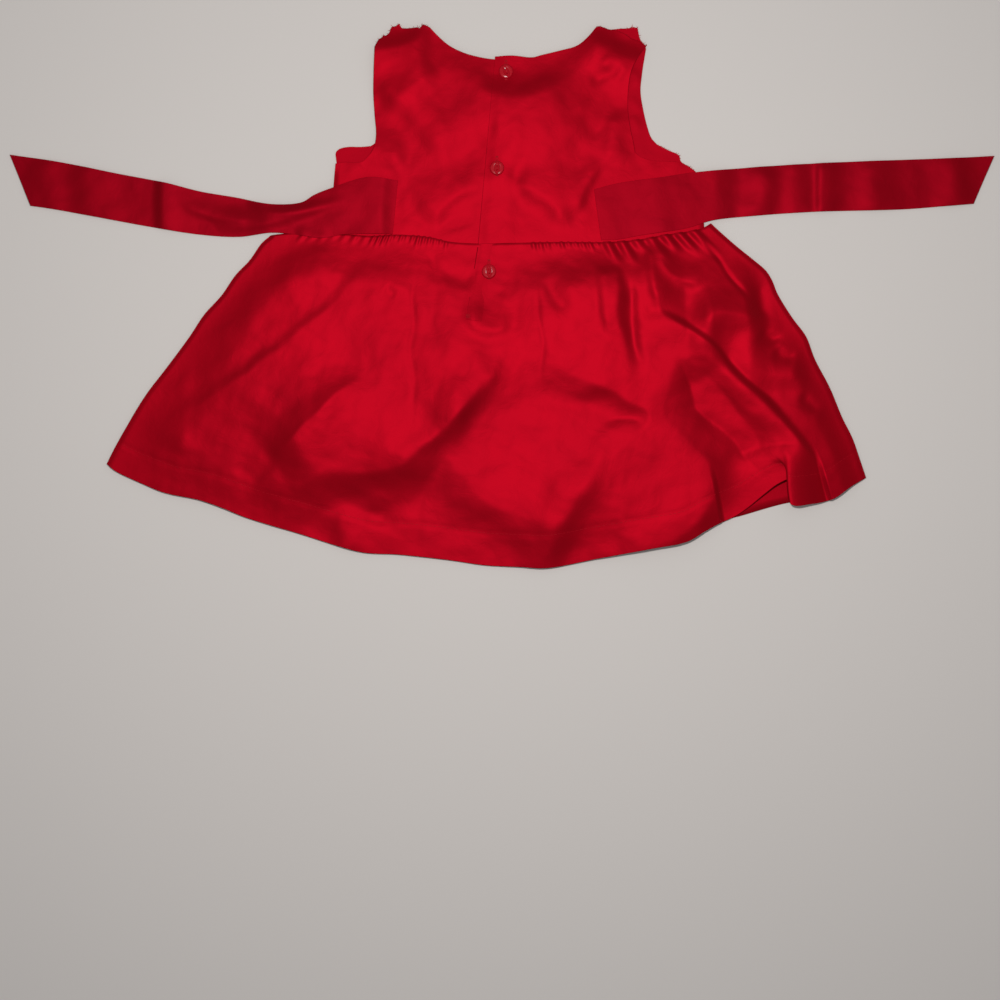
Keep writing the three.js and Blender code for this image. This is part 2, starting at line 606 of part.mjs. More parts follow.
function leftBackHeight(x, y) {
  return backLevel + bodiceRise(x, y) - sideDrop(leftBack.side, sideDropTop.left, x, y);
}

function rightBackHeight(x, y) {
  const overlap = 1 - smooth(1, 1 + overlapEase, x - centreEdge(leftBack, y));
  const level = backLevel + placketLift * overlap;
  return level + bodiceRise(x, y) - sideDrop(rightBack.side, sideDropTop.right, x, y);
}

function buildLeftBack() {
  const surface = new Surface();
  const count = cells.underarmLeft + cells.bodiceLeft;
  const onWaist = partOfPath(waistPath, leftBack.side[0].x, leftBack.centreBottom.x, count);
  const waist = raised(onWaist, seamSide);
  const centre = { x: centreEdge(leftBack, underarmRow), y: underarmRow };
  const split = straight(leftBack.junction, centre).getSpacedPoints(cells.bodiceLeft);
  const underarm = pathThrough(leftBack.underarm).getSpacedPoints(cells.underarmLeft);
  const side = pathThrough(leftBack.side).getSpacedPoints(cells.lower);
  side[0] = waist[0];
  const centreLow = straight(waist[count], centre).getSpacedPoints(cells.lower);
  const top = withTurn(joined(underarm, split));
  addPatch(surface, withTurn(waist), top, side, centreLow, leftBackHeight);
  const shoulder = leftBack.shoulder.map((row) => new THREE.Vector3(row.x, row.y, 0));
  const neck = pathThrough(leftBack.neck).getSpacedPoints(cells.bodiceLeft + 1 - shoulder.length);
  const armhole = pathThrough(leftBack.armhole).getSpacedPoints(cells.upper);
  const centreHigh = straight(centre, leftBack.centreTop).getSpacedPoints(cells.upper);
  addPatch(surface, split, joined(shoulder, neck), armhole, centreHigh, leftBackHeight);
  return wallFrom(surface.points, surface.triangles, clothWall);
}

function buildRightBack() {
  const surface = new Surface();
  const count = cells.bodiceRight + cells.underarmRight;
  const onWaist = partOfPath(waistPath, rightBack.centreBottom.x, rightBack.side[0].x, count);
  const waist = raised(onWaist, seamSide);
  const centre = { x: centreEdge(rightBack, underarmRow), y: underarmRow };
  const split = straight(centre, rightBack.junction).getSpacedPoints(cells.bodiceRight);
  const underarm = pathThrough(rightBack.underarm).getSpacedPoints(cells.underarmRight);
  const side = pathThrough(rightBack.side).getSpacedPoints(cells.lower);
  side[0] = waist[count];
  const centreLow = straight(waist[0], centre).getSpacedPoints(cells.lower);
  const bottom = withTurn([...waist].reverse()).reverse();
  const top = withTurn(joined(split, underarm).reverse()).reverse();
  addPatch(surface, bottom, top, centreLow, side, rightBackHeight);
  const neck = pathThrough(rightBack.neck).getSpacedPoints(cells.bodiceRight - cells.shoulderRight);
  const shoulder = pathThrough(rightBack.shoulder).getSpacedPoints(cells.shoulderRight);
  const armhole = pathThrough(rightBack.armhole).getSpacedPoints(cells.upper);
  const centreHigh = straight(centre, rightBack.centreTop).getSpacedPoints(cells.upper);
  addPatch(surface, split, joined(neck, shoulder), centreHigh, armhole, rightBackHeight);
  return wallFrom(surface.points, surface.triangles, clothWall);
}

// Skirt back: a patch between waist, hem and sides, with gathers, folds and the pleat
const hemPath = pathThrough(skirtHem);
const leftPath = pathThrough(skirtLeftSide);
const rightPath = pathThrough(skirtRightSide);
const pleatPath = pathThrough(pleatHem);
const pleatFrom = shareAtX(hemPath, pleatRun.from);
const pleatTo = shareAtX(hemPath, pleatRun.to);
const leftSidePoints = leftPath.getSpacedPoints(cells.side);
const rightSidePoints = rightPath.getSpacedPoints(cells.side);

function overPlacket(x, y) {
  const share = (placket.topLeft.y - y) / (placket.topLeft.y - placket.bottomLeft.y);
  const left = mix(placket.topLeft.x, placket.bottomLeft.x, share);
  const right = mix(placket.topRight.x, placket.bottomRight.x, share);
  const outside = Math.max(left - x, x - right, placket.bottomRight.y - y, 0);
  return 1 - smooth(placket.clear * placket.margin, placket.margin, outside);
}

function skirtPoint(s, t) {
  const top = waistPath.getPointAt(s);
  const hem = hemPath.getPointAt(s);
  const left = leftPath.getPointAt(t);
  const right = rightPath.getPointAt(t);
  const [topLeft, topRight] = [waistSeam[0], waistSeam[waistSeam.length - 1]];
  const [hemLeft, hemRight] = [skirtHem[0], skirtHem[skirtHem.length - 1]];
  const place = (axis) => (1 - t) * top[axis] + t * hem[axis] + (1 - s) * left[axis] + s * right[axis]
    - (1 - s) * (1 - t) * topLeft[axis] - s * (1 - t) * topRight[axis]
    - (1 - s) * t * hemLeft[axis] - s * t * hemRight[axis];
  const x = place('x');
  const y = place('y') - seamSide * (1 - t);
  const below = t * cells.skirtLength;
  const toSide = Math.min(distanceTo(leftSidePoints, x, y), distanceTo(rightSidePoints, x, y));
  const free = smooth(0, foldsFadeIn.belowWaist, below) * smooth(0, foldsFadeIn.fromSide, toSide);
  const form = sumOfFolds(skirtCrests, x, y) + sumOfPuffs(x, y);
  const folds = form * free + gatherHeight(top.x, below);
  const level = backLevel + folds * (1 - overPlacket(x, y)) - turnedDown(toSide);
  const point = new THREE.Vector3(x, y, level);
  if (s > pleatFrom && s < pleatTo) {
    const strength = smooth(pleatRun.startsAt, 1, t);
    const pleated = pleatPath.getPoint((s - pleatFrom) / (pleatTo - pleatFrom));
    point.x += (pleated.x - hem.x) * strength;
    point.y += (pleated.y - hem.y) * strength;
    point.z = mix(point.z, backLevel, strength) + pleated.z * Math.sqrt(strength);
  }
  return point;
}

const evenly = (count, from, to) => Array.from({ length: count + 1 }, (_, i) => mix(from, to, i / count));

// Shares of the waist at each quarter of a tuck, and evenly beside the gathers
function gatheredShares() {
  const tucks = gatherGroups.flatMap((group) => evenly(group.tucks * cells.tuck, group.from, group.to)
    .map((x) => shareAtX(waistPath, x)));
  const beside = evenly(cells.besideTucks, 0, 1)
    .filter((share) => share < tucks[0] || share > tucks[tucks.length - 1]);
  return [...tucks, ...beside];
}

// Shares along one row: finer in the gathers and the pleat, and one where each side turns down
function rowShares(depth, gathered) {
  const t = depth / cells.skirtLength;
  const width = mix(waistPath.getLength(), hemPath.getLength(), t);
  const turns = [sideTurn.alongRow / width, 1 - sideTurn.alongRow / width];
  let list = evenly(cells.skirtAcross, 0, 1);
  if (depth <= gatherRows[gatherRows.length - 1]) {
    list = gathered;
  }
  if (t > pleatRun.startsAt) {
    const inPleat = evenly(2 * cells.pleatExtra, pleatFrom, pleatTo);
    list = [...list.filter((share) => share <= pleatFrom || share >= pleatTo), ...inPleat];
  }
  const isEnd = (share) => share === 0 || share === 1;
  const besideTurn = (share) => turns.some((turn) => Math.abs(turn - share) < closestShares.turn);
  const kept = list.filter((share) => isEnd(share) || !besideTurn(share));
  const sorted = [...new Set([...kept, ...turns])].sort((a, b) => a - b);
  return sorted.filter((share, i) => isEnd(share) || share - sorted[i - 1] > closestShares.row);
}

function buildSkirtBack() {
  const surface = new Surface();
  const gathered = gatheredShares();
  const lastGather = gatherRows[gatherRows.length - 1];
  const rowCount = Math.round((cells.skirtLength - lastGather) / cells.skirtRowPitch);
  const below = evenly(rowCount, lastGather, cells.skirtLength).slice(1);
  const rows = [...gatherRows, ...below].map((depth) => rowShares(depth, gathered)
    .map((s) => ({ s, point: skirtPoint(s, depth / cells.skirtLength) })));
  for (let i = 0; i + 1 < rows.length; i += 1) {
    surface.stitch(rows[i], rows[i + 1]);
  }
  return wallFrom(surface.points, surface.triangles, clothWall);
}

// Flat front layers, cut a little inside the turned-down side edges of the back
function flatPiece(outline) {
  const shape = new THREE.Shape(outline.map((point) => new THREE.Vector2(point.x, point.y)));
  return new THREE.ExtrudeGeometry(shape, { depth: clothWall, bevelEnabled: false, steps: 1 });
}

function insetPath(path, count, inset) {
  return evenly(count, 0, 1).map((share) => {
    const point = path.getPointAt(share);
    const along = path.getTangentAt(share);
    return new THREE.Vector3(point.x - along.y * inset, point.y + along.x * inset, 0);
  });
}

function buildSkirtFront() {
  const { leftLow, leftHigh, rightLow, rightHigh, hemLeft, hemRight, hemInset } = frontSkirt;
  const leftEdge = insetPath(leftPath, cells.frontSide, sideTurn.frontInset)
    .filter((point) => point.y > leftLow && point.y < leftHigh);
  const rightEdge = insetPath(rightPath, cells.frontSide, -sideTurn.frontInset)
    .filter((point) => point.y > rightLow && point.y < rightHigh);
  const hem = insetPath(hemPath, cells.frontHem, hemInset)
    .filter((point) => point.x > hemLeft && point.x < hemRight);
  const waist = partOfPath(waistPath, frontSkirt.topLeft, frontSkirt.topRight, cells.frontWaist);
  return flatPiece([...leftEdge, ...hem, ...rightEdge.reverse(), ...raised(waist, -seamSide).reverse()]);
}

function buildFrontBodice() {
  const { left, neck, right } = frontBodiceEdge;
  const [waistLeft, waistRight] = [left[left.length - 1].x, right[0].x];
  const waist = raised(partOfPath(waistPath, waistLeft, waistRight, cells.bodiceWaist), seamSide);
  return flatPiece([...waist.slice(0, -1), ...right, ...neck, ...left.slice(0, -1)]);
}

// Sash halves, laid over the back and falling to the surface beyond the dress
function buildSash(sash) {
  const surface = new Surface();
  const upper = pathThrough(sash.upper).getSpacedPoints(cells.sashAlong);
  const lower = pathThrough(sash.lower).getSpacedPoints(cells.sashAlong);
  const outward = Math.sign(sash.leavesBodyAt);
  const rows = [];
  for (let j = 0; j <= cells.sashAcross; j += 1) {
    const share = j / cells.sashAcross;
    const row = upper.map((point, i) => {
      const x = mix(point.x, lower[i].x, share);
      const y = mix(point.y, lower[i].y, share);
      const away = (x - sash.leavesBodyAt) * outward;
      const fallen = smooth(0, Math.abs(sash.floorAt - sash.leavesBodyAt), away);
      const waves = sash.waves.reduce((sum, wave) => {
        const fromCrest = x - wave.at - wave.lean * (share - 0.5) * sashWidth;
        return sum + wave.rise * Math.exp(-((fromCrest / wave.width) ** 2));
      }, 0);
      return { s: i, point: new THREE.Vector3(x, y, mix(sashOnBack, sashOnFloor, fallen) + waves) };
    });
    rows.push(outward > 0 ? row : row.reverse().map((item, i) => ({ ...item, s: i })));
  }
  for (let j = 0; j < cells.sashAcross; j += 1) {
    surface.stitch(rows[j], rows[j + 1]);
  }
  return wallFrom(surface.points, surface.triangles, sashWall);
}

function buildPlacket() {
  const surface = new Surface();
  const bottom = straight(placket.bottomLeft, placket.bottomRight).getSpacedPoints(cells.placketAcross);
  const waist = partOfPath(waistPath, placket.topLeft.x, placket.topRight.x, cells.placketAcross);
  const top = raised(waist, -seamSide);
  const left = straight(placket.bottomLeft, top[0]).getSpacedPoints(cells.placketAlong);
  const right = straight(placket.bottomRight, top[cells.placketAcross]).getSpacedPoints(cells.placketAlong);
  addPatch(surface, bottom, top, left, right, () => placketLevel);
  return wallFrom(surface.points, surface.triangles, clothWall);
}

// Buttons: a rounded disc with a long eye pressed into its face and two thread holes in the eye
const wasm = await Module();
wasm.setup();

function solidOf(geometry) {
  geometry.deleteAttribute('normal');
  geometry.deleteAttribute('uv');
  const merged = mergeVertices(geometry, 1e-4);
  return new wasm.Manifold(new wasm.Mesh({
    numProp: 3,
    vertProperties: new Float32Array(merged.attributes.position.array),
    triVerts: new Uint32Array(merged.index.array),
  }));
}

function geometryOf(solid) {
  const mesh = solid.getMesh();
  const geometry = new THREE.BufferGeometry();
  geometry.setAttribute('position', new THREE.BufferAttribute(mesh.vertProperties, 3));
  geometry.setIndex(new THREE.BufferAttribute(mesh.triVerts, 1));
  return geometry;
}

function buildButton() {
  const { radius, thick, holeRadius, holeOffset, holeSides, sides } = buttonSize;
  const section = buttonProfile.map((row) => new THREE.Vector2(radius - row.inset, row.z));
  const face = buttonProfile[buttonProfile.length - 1].z;
  const profile = [new THREE.Vector2(0, 0), ...section, new THREE.Vector2(0, face)];
  let solid = solidOf(new THREE.LatheGeometry(profile, sides).rotateX(Math.PI / 2));
  const eye = new THREE.SphereGeometry(1, buttonEye.sides, buttonEye.rings);
  eye.scale(buttonEye.halfWidth, buttonEye.halfLength, buttonEye.deep).translate(0, 0, thick);
  solid = solid.subtract(solidOf(eye));
  [1, -1].forEach((up) => {
    const hole = new THREE.CylinderGeometry(holeRadius, holeRadius, thick * 3, holeSides);
    hole.rotateX(Math.PI / 2).translate(0, up * holeOffset, thick / 2);
    solid = solid.subtract(solidOf(hole));
  });
  return geometryOf(solid);
}

// A button rests on the highest point of the cloth below it
function buttonBase(spot) {
  if (spot.on === 'skirt') {
    return placketLevel + clothWall / 2 + seamGap;
  }
  const heights = buttonSeat.reaches.flatMap((reach) => evenly(buttonSeat.spokes, 0, 2 * Math.PI)
    .map((angle) => {
      const x = spot.x + Math.cos(angle) * buttonSize.radius * reach;
      const y = spot.y + Math.sin(angle) * buttonSize.radius * reach;
      return rightBackHeight(x, y);
    }));
  return Math.max(...heights) + clothWall / 2 + seamGap + buttonSeat.clearance;
}

// Materials
const satin = new THREE.MeshStandardMaterial({ color: 0xb00a1e, roughness: 0.36, metalness: 0 });
const satinInside = new THREE.MeshStandardMaterial({ color: 0xc0122a, roughness: 0.5, metalness: 0 });
const buttonGloss = new THREE.MeshStandardMaterial({ color: 0xb80c20, roughness: 0.15, metalness: 0 });

const dress = new THREE.Group();
dress.name = 'toddler_party_dress';

function place(name, geometry, material) {
  const mesh = new THREE.Mesh(geometry, material);
  mesh.name = name;
  dress.add(mesh);
  return mesh;
}

place('bodice_front', buildFrontBodice(), satinInside);
place('skirt_front', buildSkirtFront(), satinInside);
place('bodice_back_left', buildLeftBack(), satin);
place('bodice_back_right', buildRightBack(), satin);
place('skirt_back', buildSkirtBack(), satin);
place('skirt_placket_lap', buildPlacket(), satin);
sashes.forEach((sash) => place(sash.name, buildSash(sash), satin));
buttonPlaces.forEach((spot) => {
  const button = place(spot.name, buildButton(), buttonGloss);
  button.position.set(spot.x, spot.y, buttonBase(spot));
  button.rotation.z = THREE.MathUtils.degToRad(spot.turn);
});

export default dress;
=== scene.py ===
import json
import math
import random

import bmesh
import bpy
import numpy as np
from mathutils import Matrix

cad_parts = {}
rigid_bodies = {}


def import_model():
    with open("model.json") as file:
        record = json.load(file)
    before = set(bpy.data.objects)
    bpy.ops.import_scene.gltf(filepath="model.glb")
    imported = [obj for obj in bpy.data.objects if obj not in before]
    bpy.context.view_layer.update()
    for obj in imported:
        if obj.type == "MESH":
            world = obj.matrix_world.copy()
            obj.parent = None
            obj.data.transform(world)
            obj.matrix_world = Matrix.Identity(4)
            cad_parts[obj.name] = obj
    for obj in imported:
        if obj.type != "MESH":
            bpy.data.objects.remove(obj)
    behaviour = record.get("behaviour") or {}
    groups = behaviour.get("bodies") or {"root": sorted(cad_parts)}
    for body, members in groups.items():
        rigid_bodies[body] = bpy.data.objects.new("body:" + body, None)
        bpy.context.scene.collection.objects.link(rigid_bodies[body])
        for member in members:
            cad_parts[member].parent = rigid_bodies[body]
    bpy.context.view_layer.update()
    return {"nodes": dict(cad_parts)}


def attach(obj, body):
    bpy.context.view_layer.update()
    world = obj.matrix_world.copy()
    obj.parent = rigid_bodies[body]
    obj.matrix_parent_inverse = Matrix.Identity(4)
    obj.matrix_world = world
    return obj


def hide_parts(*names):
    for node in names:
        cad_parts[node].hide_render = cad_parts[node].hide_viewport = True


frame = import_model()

mm = 0.001

# Toddler's red satin party dress, laid flat on its front. The tables are in millimetres, in the
# frame of the solids: X across the dress, Y from hem to neck, Z up from the surface.
clothWall = 0.45
sashWall = 0.9
frontLevel = 0.32
backLevel = 2.1
lapLift = 0.65
lapRise = 0.34
lapSink = -0.4
sashOnBack = 3.0
sashOnFloor = 0.5
sideTurn = {"across": 3.2, "drop": 0.75}
skirtLength = 262.0
hemDepth = 25.0

print("frame loaded:", len(frame["nodes"]), "nodes")


# Curves and small sums

def smooth(low, high, value):
    share = np.clip((np.asarray(value, dtype=float) - low) / (high - low), 0.0, 1.0)
    return share * share * (3.0 - 2.0 * share)


def pathThrough(rows, steps=48):
    knots = np.array([list(row) + [0.0] * (3 - len(row)) for row in rows], dtype=float)
    first = 2 * knots[0] - knots[1]
    last = 2 * knots[-1] - knots[-2]
    knots = np.vstack([first, knots, last])
    pieces = []
    for i in range(1, len(knots) - 2):
        before, start, end, after = knots[i - 1], knots[i], knots[i + 1], knots[i + 2]
        gapA = math.sqrt(np.linalg.norm(start - before))
        gapB = math.sqrt(np.linalg.norm(end - start))
        gapC = math.sqrt(np.linalg.norm(after - end))
        slopeA = ((start - before) / gapA - (end - before) / (gapA + gapB) + (end - start) / gapB) * gapB
        slopeB = ((end - start) / gapB - (after - start) / (gapB + gapC) + (after - end) / gapC) * gapB
        u = np.linspace(0, 1, steps, endpoint=False)[:, None]
        pieces.append(start + slopeA * u + (3 * (end - start) - 2 * slopeA - slopeB) * u ** 2
                      + (2 * (start - end) + slopeA + slopeB) * u ** 3)
    points = np.vstack(pieces + [knots[-2][None, :]])
    lengths = np.concatenate([[0], np.cumsum(np.linalg.norm(np.diff(points, axis=0), axis=1))])
    return {"points": points, "shares": lengths / lengths[-1], "length": lengths[-1]}


# Even cells with a very narrow one at each end, so that a rim shades only its own edge
def evenShares(count, edge=0.0025):
    return np.concatenate([[0.0], np.linspace(edge, 1 - edge, count - 1), [1.0]])


def pathAt(path, shares):
    return np.stack([np.interp(shares, path["shares"], path["points"][:, k]) for k in range(3)], axis=-1)


def shareAtX(path, x):
    return np.interp(x, path["points"][:, 0], path["shares"])


def distanceTo(path, x, y, every=12):
    line = np.vstack([path["points"][::every, :2], path["points"][-1:, :2]])
    return nearestOn(line, x, y)[0]


def nearestOn(line, x, y):
    best = np.full(x.shape, 1e9)
    side = np.zeros(x.shape)
    for i in range(len(line) - 1):
        (ax, ay), (bx, by) = line[i], line[i + 1]
        dx, dy = bx - ax, by - ay
        share = np.clip(((x - ax) * dx + (y - ay) * dy) / (dx * dx + dy * dy), 0, 1)
        awayX, awayY = x - ax - dx * share, y - ay - dy * share
        distance = np.hypot(awayX, awayY)
        nearer = distance < best
        best = np.where(nearer, distance, best)
        side = np.where(nearer, dx * awayY - dy * awayX, side)
    return best, side


def crestLine(crest):
    start, via, end = (np.array(point, dtype=float) for point in crest)
    control = 2 * via - (start + end) / 2
    u = np.linspace(0, 1, 33)[:, None]
    return (1 - u) ** 2 * start + 2 * u * (1 - u) * control + u ** 2 * end


def foldSum(folds, x, y):
    total = np.zeros(x.shape)
    for fold in folds:
        (startX, startY), _, (endX, endY) = fold["crest"]
        runX, runY = endX - startX, endY - startY
        along = np.clip(((x - startX) * runX + (y - startY) * runY) / (runX ** 2 + runY ** 2), 0, 1)
        distance, side = nearestOn(crestLine(fold["crest"]), x, y)
        reach = np.where(side < 0, fold["steep"], fold["gentle"])
        ends = smooth(0, fold.get("fadeIn", 0.3), along) * smooth(0, fold.get("fadeOut", 0.3), 1 - along)
        total += fold["rise"] * ends * np.exp(-(distance / reach) ** fold.get("sharp", 2.0))
    return total


def puffSum(puffs, x, y):
    total = np.zeros(x.shape)
    for puff in puffs:
        rows = pathThrough(puff["loop"] + puff["loop"][:1], 3)["points"]
        away = nearestOn(rows[:, :2], x, y)[0]
        inside = np.zeros(x.shape, dtype=bool)
        weights, falls = np.zeros(x.shape), np.zeros(x.shape)
        for (ax, ay, fall), (bx, by, _) in zip(rows[:-1], rows[1:]):
            crosses = (ay > y) != (by > y)
            inside ^= crosses & (x < (bx - ax) * (y - ay) / np.where(by == ay, 1e-9, by - ay) + ax)
            weight = 1 / ((x - ax) ** 2 + (y - ay) ** 2 + 16) ** 1.6
            weights += weight
            falls += weight * fall
        down = np.where(inside, 0, np.clip((np.sqrt(away ** 2 + 4) - 2) * weights / falls, 0, 1))
        total += (puff["rise"] * (1 - 0.5 * smooth(0, 1, down) - 0.5 * (1 - (1 - down) ** 2))) ** 4
    return total ** 0.25


def uneven(index):
    value = np.sin(np.asarray(index, dtype=float) * 12.9898 + 4.137) * 43758.5453
    return value - np.floor(value)


def crumple(x, y, height, seed, longest=60.0, shortest=16.0, count=16):
    source = random.Random(seed)
    total = np.zeros(x.shape)
    for _ in range(count):
        wave = shortest * (longest / shortest) ** source.random()
        angle = source.uniform(0, math.pi)
        phase = source.uniform(0, 2 * math.pi)
        turn = source.uniform(0.2, 0.7)
        across = x * math.cos(angle) + y * math.sin(angle)
        onward = x * math.sin(angle) - y * math.cos(angle)
        bent = across + 0.18 * wave * np.sin(onward * turn / wave * 2 + phase)
        total += (wave / longest) * np.sin(2 * math.pi * bent / wave + phase)
    return height * total / math.sqrt(count)


def crushed(x, y, height, seed):
    # Soft unevenness of worn satin: long waves with short ones on top
    return crumple(x, y, height, seed) + crumple(x, y, 0.28 * height, seed + 1, 24.0, 8.0, 24)


# Meshes from grids of points

def gridMesh(bm, points, uvs, uvLayer):
    rows, columns = points.shape[:2]
    made = bmesh.ops.create_grid(bm, x_segments=columns - 1, y_segments=rows - 1, size=1.0)["verts"]
    places = {}
    for vert in made:
        i = round((vert.co.x + 1) / 2 * (columns - 1))
        j = round((vert.co.y + 1) / 2 * (rows - 1))
        places[vert] = (j, i)
        vert.co = points[j, i] * mm
    for face in {face for vert in made for face in vert.link_faces}:
        for loop in face.loops:
            loop[uvLayer].uv = uvs[places[loop.vert]]


def meshObject(name, bm):
    for face in bm.faces:
        face.smooth = True
    mesh = bpy.data.meshes.new(name)
    bm.to_mesh(mesh)
    bm.free()
    piece = bpy.data.objects.new(name, mesh)
    bpy.context.scene.collection.objects.link(piece)
    return piece


def clothObject(name, grids, wall):
    bm = bmesh.new()
    uvLayer = bm.loops.layers.uv.new("cloth")
    for points, uvs in grids:
        gridMesh(bm, points, uvs, uvLayer)
    bmesh.ops.remove_doubles(bm, verts=bm.verts, dist=0.00002)
    bmesh.ops.recalc_face_normals(bm, faces=bm.faces)
    upward = sum(face.normal.z * face.calc_area() for face in bm.faces)
    if upward < 0:
        bmesh.ops.reverse_faces(bm, faces=bm.faces)
    piece = meshObject(name, bm)
    solidify = piece.modifiers.new("wall", "SOLIDIFY")
    solidify.thickness = wall * mm
    solidify.offset = 0
    solidify.use_even_offset = False
    return piece


def coons(bottom, top, left, right, s, t):
    s = s[None, :, None]
    t = t[:, None, None]
    return ((1 - t) * bottom[None] + t * top[None] + (1 - s) * left[:, None] + s * right[:, None]
            - (1 - s) * (1 - t) * bottom[0] - s * (1 - t) * bottom[-1]
            - (1 - s) * t * top[0] - s * t * top[-1])


# Materials

def linear(hexColour):
    channels = [int(hexColour[k:k + 2], 16) / 255 for k in (1, 3, 5)]
    return tuple(c / 12.92 if c <= 0.04045 else ((c + 0.055) / 1.055) ** 2.4 for c in channels) + (1.0,)


def addNode(tree, kind, settings=None, links=None):
    node = tree.nodes.new(kind)
    for key, value in (settings or {}).items():
        if key in node.inputs:
            node.inputs[key].default_value = value
        else:
            setattr(node, key, value)
    for key, source in (links or {}).items():
        tree.links.new(source, node.inputs[key])
    return node


def satinMaterial(name, bright, deep, roughness, metal):
    material = bpy.data.materials.new(name)
    material.use_nodes = True
    tree = material.node_tree
    tree.nodes.clear()
    place = addNode(tree, "ShaderNodeTexCoord").outputs["Object"]
    patches = addNode(tree, "ShaderNodeTexNoise", {"Scale": 14.0, "Detail": 4.0, "Roughness": 0.6},
                      {"Vector": place})
    colour = addNode(tree, "ShaderNodeMix", {"data_type": "RGBA"})
    colour.inputs[6].default_value = linear(deep)
    colour.inputs[7].default_value = linear(bright)
    tree.links.new(patches.outputs["Fac"], colour.inputs[0])
    floats = addNode(tree, "ShaderNodeTexWave", {"wave_type": "BANDS", "bands_direction": "Y",
                                                 "Scale": 520.0,
                     "Distortion": 1.4, "Detail": 2.0, "Detail Scale": 3.0}, {"Vector": place})
    creases = addNode(tree, "ShaderNodeTexNoise", {"Scale": 90.0, "Detail": 5.0, "Roughness": 0.55,
                      "Distortion": 0.6}, {"Vector": place})
    crush = addNode(tree, "ShaderNodeBump", {"Strength": 0.35, "Distance": 0.0006},
                    {"Height": creases.outputs["Fac"]})
    weave = addNode(tree, "ShaderNodeBump", {"Strength": 0.10, "Distance": 0.0001},
                    {"Height": floats.outputs["Fac"], "Normal": crush.outputs["Normal"]})
    shader = addNode(tree, "ShaderNodeBsdfPrincipled",
                     {"Roughness": roughness, "Metallic": metal, "IOR": 1.45,
                      "Specular Tint": (1.0, 0.02, 0.1, 1.0)},
                     {"Base Color": colour.outputs[2], "Normal": weave.outputs["Normal"]})
    addNode(tree, "ShaderNodeOutputMaterial", {}, {"Surface": shader.outputs["BSDF"]})
    return material


def plasticMaterial(name, hexColour, roughness, gloss):
    material = bpy.data.materials.new(name)
    material.use_nodes = True
    tree = material.node_tree
    tree.nodes.clear()
    place = addNode(tree, "ShaderNodeTexCoord").outputs["Object"]
    swirl = addNode(tree, "ShaderNodeTexNoise", {"Scale": 160.0, "Detail": 2.0}, {"Vector": place})
    level = addNode(tree, "ShaderNodeMapRange", {"To Min": roughness * 0.8, "To Max": roughness * 1.3},
                    {"Value": swirl.outputs["Fac"]})
    shader = addNode(tree, "ShaderNodeBsdfPrincipled", {"Base Color": linear(hexColour), "IOR": 1.5,
                     "Specular IOR Level": gloss}, {"Roughness": level.outputs["Result"]})
    addNode(tree, "ShaderNodeOutputMaterial", {}, {"Surface": shader.outputs["BSDF"]})
    return material


# Polyester satin, right side: red with a broad sheen
satin = satinMaterial("polyester_satin_red", "#9e0414", "#8a0412", 0.52, 0.52)
# The same satin's inner side, duller and a little lighter
satinInside = satinMaterial("polyester_satin_red_inside", "#a80517", "#900413", 0.58, 0.4)
# The sash is the same satin with its base colour painted darker: painted shade for the light falling off
# away from the middle of the dress
satinSashPaintedShade = satinMaterial("polyester_satin_red_sash_painted_shade", "#8c0411", "#7c0310", 0.53, 0.45)
# Moulded polyester button
buttonPlastic = plasticMaterial("moulded_plastic_red", "#a80418", 0.13, 0.2)
# Polyester sewing thread
thread = plasticMaterial("sewing_thread_red", "#b4041a", 0.5, 0.15)


def finishPiece(piece, material, nodes=()):
    piece.data.materials.append(material)
    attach(piece, "root")
    if nodes:
        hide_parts(*nodes)
    return piece


# Outlines, shared with the solids
waistSeam = [(-184.8, 48.4), (-161.6, 51), (-135.2, 50.4), (-104, 48.2), (-84, 49.2), (-57.6, 47.2),
             (-41.6, 43.6), (-19.2, 42.2), (14.4, 42.8), (46.4, 43.4), (78.4, 43.2), (94.4, 43.8),
             (114.4, 46), (126.4, 48.4), (150.4, 52), (161.6, 54.8), (167, 58)]
skirtLeftSide = [(-184.8, 48.4), (-192, 42.5), (-201.6, 29), (-213, 17), (-224, 1), (-238, -14.5),
                 (-249.6, -32), (-269.6, -59), (-282, -75), (-290, -87), (-300, -104), (-309, -120),
                 (-316, -134)]
skirtRightSide = [(167, 58), (187, 40.5), (200, 30), (211, 20.5), (216, 12.5), (220, 2.5), (232, -17),
                  (243, -32), (250, -50), (262, -73), (272, -97), (280, -113), (286, -130), (291, -145)]
skirtHem = [(-316, -134), (-309.6, -139.4), (-289.6, -149), (-270, -157), (-241.6, -163), (-221.6, -170),
            (-205.6, -176.6), (-161.6, -190), (-130, -200), (-110, -205), (-81.6, -206.6), (-41.6, -211),
            (-14, -215), (14.4, -216.4), (36, -217.2), (78.4, -209.4), (118.4, -202), (148, -196),
            (162.4, -187.6), (176, -180.6), (190, -177), (230, -166), (262, -163), (279, -152), (291, -145)]
pleatHem = [(176, -180.6, 0), (186, -176, 0.2), (197, -168.4, 1.8), (209, -158.4, 4), (220, -150, 5.8),
            (230, -146, 6.6), (236, -149, 7.2), (233.5, -157, 7.7), (229.5, -163, 8.1), (229, -165.5, 8.8),
            (234, -167.6, 8.9), (244, -166.4, 6.6), (254, -165, 2.8), (262, -163, 0)]
pleatRun = {"from": 176, "to": 262, "startsAt": 0.8}

